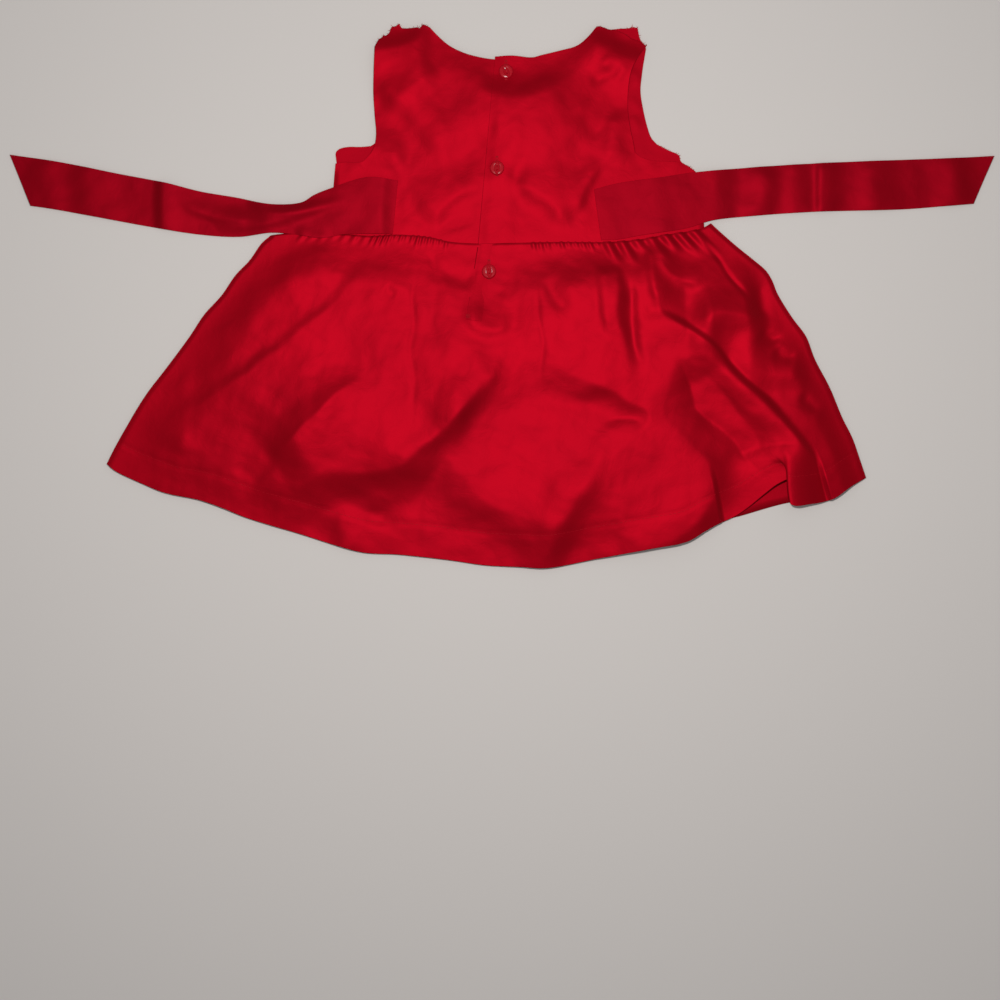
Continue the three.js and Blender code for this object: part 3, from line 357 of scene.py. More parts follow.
# Folds. A crest runs through three points, and its steep flank is on the right hand of a walk
# from the first to the last. A groove has a rise below zero.
skirtFolds = [
    dict(name="long left", crest=[(-104, 36), (-168, -36), (-280, -108)], rise=1.5, steep=6, gentle=40,
         fadeIn=0.25),
    dict(name="left wedge groove", crest=[(-98, -58), (-146, -90), (-186, -134)], rise=7.2, steep=27,
         gentle=46,
         sharp=1.05, fadeIn=0.5, fadeOut=0.25),
    dict(name="left puff crease", crest=[(-144, -150), (-112, -172), (-76, -177)], rise=-1.8, steep=8,
         gentle=10),
    dict(name="great slope", crest=[(-106, -146), (-58, -114), (-14, -68)], rise=3.4, steep=18, gentle=34,
         sharp=1.6),
    dict(name="great slope top", crest=[(-50, -106), (-22, -80), (2, -50)], rise=2.4, steep=9, gentle=28),
    dict(name="middle puff foot", crest=[(-40, -134), (-14, -164), (30, -176)], rise=1.2, steep=18,
         gentle=30),
    dict(name="middle puff side", crest=[(18, -232), (56, -166), (82, -108)], rise=5.4, steep=14, gentle=28,
         fadeOut=0.45),
    dict(name="right puff side", crest=[(136, -216), (164, -164), (170, -120)], rise=1.4, steep=12,
         gentle=28),
    dict(name="waist lobe", crest=[(84, 24), (86, -6), (92, -42)], rise=1.7, steep=9, gentle=9, sharp=4,
         fadeIn=0.12, fadeOut=0.45),
    dict(name="roll groove", crest=[(99, 22), (104, -18), (110, -64)], rise=-1.8, steep=5, gentle=5),
    dict(name="waist roll", crest=[(116, 50), (122, 18), (130, -14)], rise=2.2, steep=6, gentle=12),
    dict(name="pleat lip", crest=[(122, -8), (190, -65), (258, -142)], rise=2.4, steep=15, gentle=3,
         fadeIn=0.12,
         fadeOut=0.15),
    dict(name="pleat valley", crest=[(146, -50), (190, -92), (212, -144)], rise=-2.8, steep=34, gentle=14,
         sharp=1.2,
         fadeIn=0.2, fadeOut=0.3),
    dict(name="hollow floor", crest=[(150, -38), (190, -58), (230, -98)], rise=-2.4, steep=6, gentle=24),
    dict(name="placket smile", crest=[(-34, -12), (-8, -25), (14, -12)], rise=1.4, steep=6, gentle=12),
    dict(name="placket patch", crest=[(-52, 20), (-38, 14), (-20, 14)], rise=-0.8, steep=7, gentle=7),
    dict(name="right arc", crest=[(122, 40), (140, 17), (170, 10)], rise=2, steep=5, gentle=14),
    dict(name="right hollow", crest=[(146, -26), (182, -12), (216, -22)], rise=6.5, steep=24, gentle=30,
         sharp=1.4),
    dict(name="right lobe", crest=[(182, -44), (216, -60), (250, -64)], rise=2, steep=12, gentle=16),
    dict(name="side smear", crest=[(211, 14), (208, -2), (210, -18)], rise=-1.7, steep=6, gentle=6),
    dict(name="side dimple", crest=[(206, -26), (214, -33), (224, -36)], rise=-1.5, steep=6, gentle=5),
    dict(name="side low dimple", crest=[(216, -44), (225, -50), (236, -50)], rise=-1.5, steep=6, gentle=5),
    dict(name="side foot dimple", crest=[(236, -78), (244, -86), (256, -92)], rise=-1.2, steep=6, gentle=6),
    dict(name="side seam", crest=[(157, 50), (176, 22), (206, -6)], rise=-0.7, steep=2.2, gentle=2.2,
         fadeIn=0.1),
    dict(name="left soft", crest=[(-122, 38), (-168, 24), (-220, 6)], rise=1.8, steep=10, gentle=20),
    dict(name="left second soft", crest=[(-150, 22), (-186, 4), (-236, -16)], rise=1.4, steep=10,
         gentle=18),
    dict(name="left low soft", crest=[(-176, -8), (-214, -22), (-262, -56)], rise=1.6, steep=12, gentle=22),
    dict(name="left edge nick", crest=[(-290, -66), (-270, -70), (-244, -66)], rise=1.4, steep=6,
         gentle=14),
    dict(name="left foot soft", crest=[(-306, -98), (-280, -108), (-236, -118)], rise=1.6, steep=10,
         gentle=16),
    dict(name="pressed crease left", crest=[(-66, 32), (-71, -20), (-73, -112)], rise=-0.32, steep=2.2,
         gentle=2.6),
    dict(name="pressed crease centre", crest=[(-56, 40), (-54, 8), (-58, -44)], rise=-0.5, steep=5,
         gentle=6,
         fadeIn=0.15),
    dict(name="pressed crease right", crest=[(28, 22), (30, -18), (32, -80)], rise=-0.32, steep=2.2,
         gentle=2.6),
    dict(name="upper right patch", crest=[(34, 16), (42, 4), (54, -14)], rise=-1.1, steep=6, gentle=8),
    dict(name="dimple left", crest=[(-94, 5), (-89, 1), (-84, 0)], rise=-0.4, steep=4, gentle=4),
    dict(name="hem dip left", crest=[(-216, -132), (-206, -142), (-190, -150)], rise=-0.8, steep=6,
         gentle=8),
    dict(name="puff foot left low", crest=[(-136, -168), (-128, -186), (-124, -212)], rise=1.6, steep=10,
         gentle=16),
]
# Puffs of the skirt: each stands high inside its loop. A row is x, y, and how far outside that
# point the cloth takes to fall to the general level.
skirtPuffs = [
    dict(name="left panel", rise=4, loop=[
        (-116, -55, 60), (-134, -59, 60), (-154, -67, 60), (-176, -78, 60), (-192, -104, 50),
        (-198, -134, 34), (-212, -142, 40), (-240, -112, 90), (-225, -64, 110), (-190, -10, 110),
        (-150, 14, 80), (-120, 20, 70), (-90, 10, 80), (-60, -10, 100), (-50, -36, 120),
        (-92, -48, 120)]),
    dict(name="left puff", rise=5.8, loop=[
        (-96, -72, 110), (-122, -88, 80), (-146, -100, 70), (-163, -119, 60), (-181, -144, 40),
        (-164, -150, 40), (-142, -139, 36), (-124, -141, 24), (-98, -138, 26), (-77, -132, 30),
        (-60, -115, 32), (-40, -98, 30), (-20, -79, 28), (-6, -62, 70), (-10, -44, 90),
        (-56, -44, 110), (-86, -58, 110)]),
    dict(name="middle puff", rise=3.4, loop=[
        (-44, -122, 50), (-34, -140, 40), (-22, -155, 30), (-8, -166, 30), (12, -172, 36),
        (34, -178, 32), (48, -182, 24), (60, -164, 26), (72, -142, 30), (82, -122, 40),
        (66, -108, 70), (30, -102, 84), (-20, -100, 84)]),
    dict(name="right rolls", rise=6.2, loop=[
        (76, 20, 60), (100, 28, 20), (114, 20, 30), (127, -12, 50), (144, -30, 90),
        (170, -51, 110), (192, -67, 110), (218, -98, 110), (240, -126, 90), (252, -146, 60),
        (236, -136, 40), (217, -114, 44), (198, -90, 46), (177, -72, 44), (158, -58, 40),
        (142, -49, 40), (134, -56, 48), (131, -76, 58), (128, -94, 64), (145, -117, 56),
        (163, -133, 36), (170, -149, 30), (163, -170, 26), (140, -194, 24),
        (112, -196, 60), (94, -172, 70), (86, -140, 70), (100, -118, 60), (118, -100, 32),
        (113, -88, 22), (98, -80, 22), (74, -68, 23), (56, -62, 32), (40, -36, 100), (54, -6, 100)]),
]
bodiceFolds = [
    dict(name="neck smile", crest=[(74, 182), (6, 157), (-52, 184)], rise=4, steep=13, gentle=36,
         fadeIn=0.35,
         fadeOut=0.4),
    dict(name="neck hollow", crest=[(-62, 188), (-30, 178), (2, 176)], rise=0.9, steep=12, gentle=14),
    dict(name="left drag", crest=[(-100, 176), (-66, 146), (-36, 104)], rise=2.6, steep=14, gentle=34),
    dict(name="left upper drag", crest=[(-98, 150), (-80, 162), (-52, 186)], rise=1.6, steep=10, gentle=20),
    dict(name="right drag", crest=[(-14, 112), (40, 126), (88, 160)], rise=2, steep=14, gentle=26),
    dict(name="arch left", crest=[(-62, 54), (-42, 78), (-16, 92)], rise=1.7, steep=7, gentle=22),
    dict(name="arch right", crest=[(2, 92), (30, 84), (58, 54)], rise=2.2, steep=9, gentle=26),
    dict(name="arch middle", crest=[(-34, 94), (-10, 96), (12, 94)], rise=1.2, steep=12, gentle=12),
    dict(name="left shoulder", crest=[(-54, 214), (-80, 199), (-118, 196)], rise=3.4, steep=9, gentle=22,
         fadeOut=0.1),
    dict(name="right shoulder", crest=[(128, 180), (96, 190), (58, 210)], rise=3.6, steep=11, gentle=20,
         fadeIn=0.1),
    dict(name="shoulder streak", crest=[(70, 169), (82, 177), (98, 182)], rise=-0.9, steep=5, gentle=7),
    dict(name="shoulder second streak", crest=[(76, 188), (86, 184), (98, 172)], rise=0.9, steep=5,
         gentle=9),
    dict(name="chest streak", crest=[(60, 152), (68, 138), (72, 122)], rise=-0.8, steep=9, gentle=9),
    dict(name="side ridge", crest=[(58, 62), (66, 88), (82, 112)], rise=1, steep=5, gentle=10),
    dict(name="left hollow", crest=[(-126, 116), (-100, 116), (-72, 108)], rise=2, steep=12, gentle=14),
    dict(name="waist streak", crest=[(-54, 52), (-36, 58), (-18, 64)], rise=-0.7, steep=4, gentle=6),
    dict(name="right armhole soft", crest=[(96, 152), (88, 124), (90, 102)], rise=1.6, steep=8, gentle=12),
]
gatherGroups = [
    dict(name="hidden left", start=-160, end=-104, tucks=7, depth=0.7, run=9),
    dict(name="left", start=-104, end=-42, tucks=14, depth=1.1, run=8),
    dict(name="centre", start=-42, end=22, tucks=4, depth=0.4, run=6),
    dict(name="right", start=22, end=78, tucks=10, depth=1.0, run=7),
    dict(name="side", start=78, end=158, tucks=7, depth=2.0, run=20),
]
placket = {"topLeft": (-19.2, 41.6), "topRight": (1, 42), "bottomLeft": (-28.8, -18.8),
           "bottomRight": (-8, -21.6), "waistY": 42.5, "width": 20.4}

waistPath = pathThrough(waistSeam)
leftPath = pathThrough(skirtLeftSide)
rightPath = pathThrough(skirtRightSide)
hemPath = pathThrough(skirtHem)
pleatPath = pathThrough(pleatHem)


def skirtRise(x, y, below):
    # The outlines wander a little, as cloth does
    bentX, bentY = x + crumple(x, y, 2.6, 31, 90, 26, 10), y + crumple(x, y, 2.6, 37, 90, 26, 10)
    folds = (foldSum(skirtFolds, bentX, bentY) + crushed(x, y, 0.4, 11)) * smooth(0, 20, below)
    return np.maximum(folds + puffSum(skirtPuffs, bentX, bentY) * smooth(0, 50, below), -0.9)


def gatherHeight(waistX, below):
    total = np.zeros(np.broadcast(waistX, below).shape)
    for number, group in enumerate(gatherGroups):
        inside = (waistX > group["start"]) & (waistX < group["end"])
        phase = (waistX - group["start"]) / (group["end"] - group["start"]) * group["tucks"]
        tuck = np.floor(phase) + (number - 1) * 20
        deep = group["depth"] * (0.55 + 0.45 * uneven(tuck))
        run = group["run"] * (0.6 + 0.7 * uneven(tuck + 7))
        share = np.clip((below - 0.15 * run) / (1.35 * run), 0, 1)
        fade = 1 - share * share * (3 - 2 * share)
        total += np.where(inside, deep * (0.5 - 0.5 * np.cos(2 * math.pi * phase)) * fade, 0)
    return total


def skirtSurface(columns, rows):
    s = evenShares(columns, 0.0005)
    t = evenShares(rows, 0.0012) ** 1.1
    top, hem = pathAt(waistPath, s), pathAt(hemPath, s)
    base = coons(top, hem, pathAt(leftPath, t), pathAt(rightPath, t), s, t)
    x, y = base[..., 0], base[..., 1] + 0.5 * (1 - t[:, None]) ** 40
    below = t[:, None] * skirtLength + 0 * x
    toLeft, toRight = distanceTo(leftPath, x, y), distanceTo(rightPath, x, y)
    toSide = np.minimum(toLeft, toRight)
    z = backLevel + skirtRise(x, y, below) * smooth(0, 50, toLeft) * smooth(0, 22, toRight)
    z += gatherHeight(top[None, :, 0] + 0 * x, below) - 0.7 * (1 - smooth(0, 1.6, below))
    z -= sideTurn["drop"] * (1 - smooth(0.2, sideTurn["across"], toSide))
    z -= 0.3 * np.exp(-((skirtLength - below - hemDepth) / 1.3) ** 2)
    fromX, toX = shareAtX(hemPath, pleatRun["from"]), shareAtX(hemPath, pleatRun["to"])
    inPleat = (s > fromX) & (s < toX)
    strength = smooth(pleatRun["startsAt"], 1, t)[:, None]
    pleated = pathAt(pleatPath, np.clip((s - fromX) / (toX - fromX), 0, 1))
    x = x + np.where(inPleat, (pleated[:, 0] - hem[:, 0]) * strength, 0)
    y = y + np.where(inPleat, (pleated[:, 1] - hem[:, 1]) * strength, 0)
    flat = z + (backLevel - z) * strength
    z = np.where(inPleat, flat + pleated[:, 2] * np.sqrt(strength), z)
    uvs = np.stack([s[None, :] * hemPath["length"] * mm + 0 * x, (skirtLength - below) * mm], axis=-1)
    return np.stack([x, y, z], axis=-1), uvs


skirtBack = clothObject("skirtBack", [skirtSurface(366, 122)], clothWall)
finishPiece(skirtBack, satin, ["skirt_back"])
print("skirt back:", len(skirtBack.data.vertices), "points")


# Flat front layers: an even grid between their edges

def insetEdge(path, shares, inset):
    points = pathAt(path, shares)
    ahead = pathAt(path, np.clip(shares + 0.004, 0, 1)) - pathAt(path, np.clip(shares - 0.004, 0, 1))
    ahead /= np.linalg.norm(ahead, axis=1)[:, None]
    return points + np.stack([-ahead[:, 1], ahead[:, 0], 0 * ahead[:, 0]], axis=-1) * inset


def skirtFrontSurface(columns, rows):
    s, t = np.linspace(0.004, 0.994, columns + 1), np.linspace(0.004, 1, rows + 1)
    ramp = (s - s[0]) / (s[-1] - s[0])
    along = (t - t[0]) / (t[-1] - t[0])
    left, right = insetEdge(leftPath, t, 3), insetEdge(rightPath, t, -3)
    top = pathAt(waistPath, s) - [0, 0.3, 0]
    hem = insetEdge(hemPath, s, 1.2)
    top = top + (1 - ramp)[:, None] * (left[0] - top[0]) + ramp[:, None] * (right[0] - top[-1])
    left = left + along[:, None] * (hem[0] - left[-1])
    right = right + along[:, None] * (hem[-1] - right[-1])
    base = coons(top, hem, left, right, ramp, along)
    x, y = base[..., 0], base[..., 1]
    z = np.full(x.shape, frontLevel)
    uvs = np.stack([s[None, :] * hemPath["length"] * mm + 0 * x,
                    (1 - along[:, None]) * skirtLength * mm + 0 * x], axis=-1)
    return np.stack([x, y, z], axis=-1), uvs


skirtFront = clothObject("skirtFront", [skirtFrontSurface(120, 40)], clothWall)
finishPiece(skirtFront, satinInside, ["skirt_front"])

# Back bodice: a lower block up to the underarm, and an upper block from there to neck and shoulder
leftBack = dict(
    junction=(-105, 114),
    side=[(-135.2, 50.6), (-135.2, 77), (-134.2, 94), (-133, 106.2)],
    underarm=[(-133, 106.2), (-125.6, 107.2), (-112, 107.4), (-105, 114)],
    armhole=[(-105, 114), (-102, 120), (-100.6, 129), (-101.8, 145), (-102.8, 163), (-102.4, 181),
             (-101.6, 199)],
    shoulder=[(-101.6, 199), (-99.9, 202.2), (-98.2, 205.4), (-95.6, 206.6), (-94.8, 208.8), (-93.6, 208),
              (-90.7, 209.7),
              (-89, 213.4), (-87.9, 215.6), (-85.2, 215.7), (-82.8, 217.6), (-81.6, 217.8), (-81.3,
                      215.7), (-79.6, 214.2),
              (-75.3, 214.1), (-69.6, 214.7), (-67, 214.8), (-65.8, 213.7), (-64.4, 215.8), (-62.6,
                      217), (-57.6, 214.8)],
    neck=[(-57.6, 214.8), (-49.6, 206.6), (-41.6, 200), (-30, 194.4), (-17.6, 191), (-6.4, 189.4),
          (12, 189)],
    centreTop=(12, 189), centreBottom=(-1.6, 42.6))
rightBack = dict(
    junction=(106.4, 115),
    side=[(161.6, 55), (160.4, 77), (158.4, 90), (155.6, 98)],
    underarm=[(106.4, 115), (111, 111.4), (120, 108.6), (131, 107.8), (141.4, 107.2), (150, 102.4),
              (155.6, 98)],
    armhole=[(106.4, 115), (105, 123), (102.4, 134.8), (100.6, 149), (100.8, 165), (103, 179), (108, 190),
             (115.8, 200.6)],
    neck=[(-5.6, 191.6), (8, 192.4), (24, 191), (32, 193), (46, 196.4), (60, 200.4), (68, 206.6),
          (75.6, 215.6)],
    shoulder=[(75.6, 215.6), (78.4, 215.8), (84, 213.6), (92, 212.2), (98.4, 209.4), (104, 205.6),
              (110.4, 203.4), (112.6, 201),
              (115.8, 200.6)],
    centreTop=(-5.6, 191.6), centreBottom=(-19.2, 42.2))


def lineX(back, y):
    (topX, topY), (bottomX, bottomY) = back["centreTop"], back["centreBottom"]
    return bottomX + (topX - bottomX) * (y - bottomY) / (topY - bottomY)


def edgePoints(rows, count):
    return pathAt(pathThrough(rows), evenShares(count))


def bodiceRise(x, y):
    aboveWaist = smooth(0, 12, y - 44 - 6 * smooth(80, 160, np.abs(x)))
    sides = smooth(0, 12, distanceTo(pathThrough(leftBack["side"]), x, y)) * smooth(
        0, 12, distanceTo(pathThrough(rightBack["side"]), x, y))
    underSash = 1 - smooth(78, 90, np.abs(x)) * (1 - smooth(92, 106, y))
    return np.maximum(foldSum(bodiceFolds, x, y) + crushed(x, y, 0.35, 5),
                      -0.3) * aboveWaist * sides * underSash


def leftBackHeight(x, y):
    drop = sideTurn["drop"] * (1 - smooth(0.2, sideTurn["across"],
                                          distanceTo(pathThrough(leftBack["side"]), x, y)))
    return backLevel + bodiceRise(x, y) - drop * (1 - smooth(94, 106, y))


def rightBackHeight(x, y):
    drop = sideTurn["drop"] * (1 - smooth(0.2, sideTurn["across"],
                                          distanceTo(pathThrough(rightBack["side"]), x, y)))
    overlap = 1 - smooth(1, 15, x - lineX(leftBack, y))
    overlap = overlap * (0.25 + 0.75 * smooth(0, 9, x - lineX(rightBack, y)))
    return backLevel + lapLift * overlap + bodiceRise(x, y) - drop * (1 - smooth(83, 95, y))


def block(bottom, top, left, right, heightAt):
    s, t = evenShares(len(bottom) - 1), evenShares(len(left) - 1)
    base = coons(bottom, top, left, right, s, t)
    x, y = base[..., 0], base[..., 1]
    points = np.stack([x, y, heightAt(x, y)], axis=-1)
    return points, np.stack([x * mm, y * mm], axis=-1)


def bodiceBlocks(back, heightAt, centreFirst, counts):
    outside, inside, lower, upper = counts
    waistX = sorted([back["side"][0][0], back["centreBottom"][0]])
    run = evenShares(outside + inside)
    fromShare, toShare = shareAtX(waistPath, waistX[0]), shareAtX(waistPath, waistX[1])
    waist = pathAt(waistPath, fromShare + (toShare - fromShare) * run) - [0, 0.15, 0]
    centreMiddle = (lineX(back, 118), 118)
    split = edgePoints([centreMiddle, back["junction"]] if centreFirst else [back["junction"],
            centreMiddle], inside)
    underarm = edgePoints(back["underarm"], outside)
    side = edgePoints(back["side"], lower)
    centreEnd = waist[0] if centreFirst else waist[-1]
    centreLow = edgePoints([tuple(centreEnd[:2]), centreMiddle], lower)
    neckCells = inside * 2 // 3 if centreFirst else inside // 2
    neck, shoulder = edgePoints(back["neck"], neckCells), edgePoints(back["shoulder"], inside - neckCells)
    armhole = edgePoints(back["armhole"], upper)
    centreHigh = edgePoints([centreMiddle, back["centreTop"]], upper)
    if centreFirst:
        side[0] = waist[-1]
        top = np.vstack([split, underarm[1:]])
        return [block(waist, top, centreLow, side, heightAt),
                block(split, np.vstack([neck, shoulder[1:]]), centreHigh, armhole, heightAt)]
    side[0] = waist[0]
    top = np.vstack([underarm, split[1:]])
    return [block(waist, top, side, centreLow, heightAt),
            block(split, np.vstack([shoulder, neck[1:]]), armhole, centreHigh, heightAt)]


bodiceBackLeft = clothObject("bodiceBackLeft", bodiceBlocks(leftBack, leftBackHeight, False,
                                                            (20, 70, 40, 60)), clothWall)
finishPiece(bodiceBackLeft, satin, ["bodice_back_left"])
bodiceBackRight = clothObject("bodiceBackRight", bodiceBlocks(rightBack, rightBackHeight, True,
                                                              (34, 78, 40, 60)),
                              clothWall)
finishPiece(bodiceBackRight, satin, ["bodice_back_right"])
print("back bodice made")

# Front bodice: its inner side shows past the armholes
frontLeft = dict(
    side=[(-131.8, 50.8), (-131.2, 77), (-130.8, 94), (-133, 112)],
    underarm=[(-133, 112), (-133, 115), (-130, 118), (-123, 119.6), (-113, 119.6), (-105, 120.3)],
    armhole=[(-105, 120.3), (-100.6, 123.6), (-99, 129), (-100, 145), (-101, 162), (-100.8, 180),
             (-100, 197)],
    shoulder=[(-100, 197), (-96.6, 204), (-82, 213), (-59, 213)],
    neck=[(-59, 213), (-51, 190), (-38, 173), (-18, 162), (4, 158.6)])
frontRight = dict(
    side=[(158, 54), (156.8, 77), (153.4, 92), (154.8, 99.8)],
    underarm=[(124, 121.6), (132.8, 117), (141.6, 112.8), (143, 108), (150, 103.6), (154.8, 99.8)],
    armhole=[(124, 121.6), (119.4, 126.8), (116.4, 135), (113, 149), (110.8, 164), (112, 178),
             (115.2, 198)],
    shoulder=[(75, 212.6), (84, 213), (93, 214), (102.6, 214.8), (104.4, 216), (105.8, 214.6),
              (108.4, 214.6), (108, 213),
              (110.2, 209.4), (109.6, 207), (111.4, 204), (113.6, 201.6), (115.2, 198)],
    neck=[(4, 158.6), (24, 161), (46, 170), (62, 186), (71, 207), (75, 212.6)])


# Small folds along the armholes, where the front's inner side shows
frontEdgeFolds = [
    dict(name="armhole upper spot", crest=[(104, 182), (108, 174), (108, 166)], rise=0.6, steep=4,
         gentle=4),
    dict(name="armhole low spot", crest=[(102, 146), (107, 138), (112, 132)], rise=0.6, steep=4, gentle=4),
    dict(name="armhole spot", crest=[(100, 160), (107, 153), (112, 146)], rise=0.4, steep=4, gentle=4),
    dict(name="underarm crease", crest=[(102, 118), (118, 109.6), (146, 106)], rise=0.4, steep=2.5,
         gentle=4),
]


def frontHeight(x, y):
    return frontLevel + foldSum(frontEdgeFolds, x, y)


def frontBlocks(counts):
    outside, inside, lower, upper = counts
    leftX, rightX = shareAtX(waistPath, -131.8), shareAtX(waistPath, 158)
    middleShare = shareAtX(waistPath, 4)
    grids = []
    run = evenShares(outside + inside)
    waistLeft = pathAt(waistPath, leftX + (middleShare - leftX) * run) - [0, 0.15, 0]
    waistRight = pathAt(waistPath, middleShare + (rightX - middleShare) * run) - [0, 0.15, 0]
    split = edgePoints([frontLeft["underarm"][-1], (4, 120)], inside)
    side = edgePoints(frontLeft["side"], lower)
    side[0] = waistLeft[0]
    middle = edgePoints([tuple(waistLeft[-1][:2]), (4, 120)], lower)
    grids.append(block(waistLeft, np.vstack([edgePoints(frontLeft["underarm"], outside), split[1:]]), side,
                       middle, frontHeight))
    grids.append(block(split, np.vstack([edgePoints(frontLeft["shoulder"], inside // 3),
                                         edgePoints(frontLeft["neck"], inside - inside // 3)[1:]]),
                       edgePoints(frontLeft["armhole"], upper), edgePoints([(4, 120), (4, 158.6)],
                               upper), frontHeight))
    split = edgePoints([(4, 120), frontRight["underarm"][0]], inside)
    side = edgePoints(frontRight["side"], lower)
    side[0] = waistRight[-1]
    grids.append(block(waistRight, np.vstack([split, edgePoints(frontRight["underarm"], outside)[1:]]),
                       middle, side, frontHeight))
    grids.append(block(split, np.vstack([edgePoints(frontRight["neck"], inside - inside // 3),
                                         edgePoints(frontRight["shoulder"], inside // 3)[1:]]),
                       edgePoints([(4, 120), (4, 158.6)], upper), edgePoints(frontRight["armhole"],
                               upper), frontHeight))
    return grids


bodiceFront = clothObject("bodiceFront", frontBlocks((20, 48, 24, 40)), clothWall)
finishPiece(bodiceFront, satinInside, ["bodice_front"])
print("front bodice made")


# Lap of the opening on the skirt: its free edge stands on the skirt, its other edge sinks into it
def skirtHeight(x, y):
    return backLevel + skirtRise(x, y, placket["waistY"] - y)


def lapSurface(columns, rows):
    s, t = evenShares(columns), evenShares(rows)
    bottom = edgePoints([placket["bottomLeft"], placket["bottomRight"]], columns)
    waistShares = np.linspace(shareAtX(waistPath, placket["topLeft"][0]),
                              shareAtX(waistPath, placket["topRight"][0]),
                              columns + 1)
    top = pathAt(waistPath, waistShares) - [0, 0.1, 0]
    left = edgePoints([placket["bottomLeft"], tuple(top[0][:2])], rows)
    right = edgePoints([placket["bottomRight"], tuple(top[-1][:2])], rows)
    base = coons(bottom, top, left, right, s, t)
    x, y = base[..., 0], base[..., 1]
    held = smooth(0.25, 1, s)[None, :] + 0 * t[:, None]
    lift = lapRise * (0.45 + 0.55 * smooth(0, 0.2, s)[None, :]) * (1 - held) + lapSink * held
    z = skirtHeight(x, y) + lift
    return np.stack([x, y, z], axis=-1), np.stack([x * mm, y * mm], axis=-1)


placketLap = clothObject("placketLap", [lapSurface(22, 64)], clothWall)
finishPiece(placketLap, satin, ["skirt_placket_lap"])

# Sash halves: double satin, laid over the back and falling to the surface beyond the dress
sashLeft = dict(
    name="sashLeft", node="sash_left", leaves=-187, floor=-206, outward=-1,
    upper=[(-83.2, 92.4), (-107.2, 95), (-134.4, 87), (-150, 81), (-160, 75), (-184, 73.6), (-212, 79),
           (-241.6, 84),
           (-269.6, 91), (-309.6, 98.6), (-353.6, 107.4), (-393.6, 113.4)],
    lower=[(-87.4, 49.6), (-104, 49.8), (-125.6, 49.4), (-145, 46.6), (-165, 49.4), (-184, 50.8),
           (-210, 47.6),
           (-241.6, 49.4), (-280, 55.4), (-330, 64.6), (-360, 70), (-377, 72.4)],
    folds=[
        dict(name="end crease", crest=[(-270, 110), (-271, 72), (-270, 40)], rise=2.4, steep=5, gentle=16),
        dict(name="outer swell", crest=[(-318, 118), (-330, 86), (-318, 50)], rise=1.6, steep=14,
             gentle=20),
        dict(name="tip swell", crest=[(-360, 120), (-366, 92), (-358, 60)], rise=1.2, steep=14, gentle=14),
        dict(name="middle streak", crest=[(-262, 78), (-226, 64), (-188, 64)], rise=1.6, steep=5, gentle=8),
        dict(name="long streak", crest=[(-236, 56), (-196, 58), (-138, 72)], rise=1.6, steep=5, gentle=7),
        dict(name="gather streak", crest=[(-206, 72), (-172, 67), (-120, 78)], rise=1.4, steep=4, gentle=5),
        dict(name="body swell", crest=[(-140, 96), (-128, 74), (-134, 50)], rise=1.2, steep=12, gentle=12),
        dict(name="root roll", crest=[(-98, 40), (-98, 72), (-95, 106)], rise=2.4, steep=8, gentle=30,
             fadeIn=0.1,
             fadeOut=0.1),
        dict(name="underarm spot", crest=[(-166, 52), (-152, 48), (-136, 46)], rise=1.2, steep=4, gentle=6),
    ])
sashRight = dict(
    name="sashRight", node="sash_right", leaves=169, floor=192, outward=1,
    upper=[(73.6, 85.2), (88, 89.2), (106.4, 92.4), (126.4, 94.8), (152, 98.8), (204, 103.4), (260, 106.8),
           (320, 109.2), (360, 110.6), (393.6, 112.4)],
    lower=[(79.2, 44.8), (92.8, 45.4), (110.4, 48.6), (126.4, 51), (142.4, 53.4), (152, 55.6), (168, 60.6),
           (204, 64.6), (250, 67.6), (320, 69.6), (352, 72), (377, 74)],
    folds=[
        dict(name="body swell", crest=[(132, 108), (124, 76), (118, 40)], rise=1.2, steep=16, gentle=18),
        dict(name="first swell", crest=[(206, 112), (208, 84), (200, 56)], rise=2.4, steep=14, gentle=12),
        dict(name="middle swell", crest=[(236, 116), (234, 84), (240, 56)], rise=1.8, steep=10, gentle=12),
        dict(name="sharp crease", crest=[(256, 56), (255, 84), (256, 118)], rise=2.4, steep=13, gentle=4),
        dict(name="third swell", crest=[(300, 118), (296, 88), (302, 58)], rise=2, steep=12, gentle=14),
        dict(name="end swell", crest=[(352, 60), (362, 92), (350, 122)], rise=2, steep=12, gentle=12),
    ])


sashCut = {"long": 0.31, "wide": 0.045}


def sashSurface(sash, columns, rows):
    s, t = evenShares(columns, 0.0006), evenShares(rows, 0.004)
    upper, lower = pathAt(pathThrough(sash["upper"]), s), pathAt(pathThrough(sash["lower"]), s)
    base = lower[None] + (upper - lower)[None] * t[:, None, None]
    x, y = base[..., 0], base[..., 1]
    away = (x - sash["leaves"]) * sash["outward"]
    fallen = smooth(0, abs(sash["floor"] - sash["leaves"]), away)
    level = sashOnBack + (sashOnFloor - sashOnBack) * fallen
    rise = np.maximum(foldSum(sash["folds"], x, y) + crushed(x, y, 0.3, 21), 0)
    z = level + rise
    uvs = np.stack([s[None, :] * sashCut["long"] + 0 * x, t[:, None] * sashCut["wide"] + 0 * x], axis=-1)
    return np.stack([x, y, z], axis=-1), uvs


# Both sash halves take the satin whose colour is painted darker as shade
for sash in (sashLeft, sashRight):
    piece = clothObject(sash["name"], [sashSurface(sash, 200, 30)], sashWall)
    finishPiece(piece, satinSashPaintedShade, [sash["node"]])
print("sash halves made")

# Buttons: the solids' discs stay, in moulded plastic
buttonSpots = [
    dict(node="button_top", place=(3.2, 178.8), turn=28),
    dict(node="button_middle", place=(-4, 102), turn=-4),
    dict(node="button_skirt", place=(-10.4, 19.6), turn=8),
]
for spot in buttonSpots:
    node = bpy.data.objects[spot["node"]]
    node.data.materials.clear()
    node.data.materials.append(buttonPlastic)


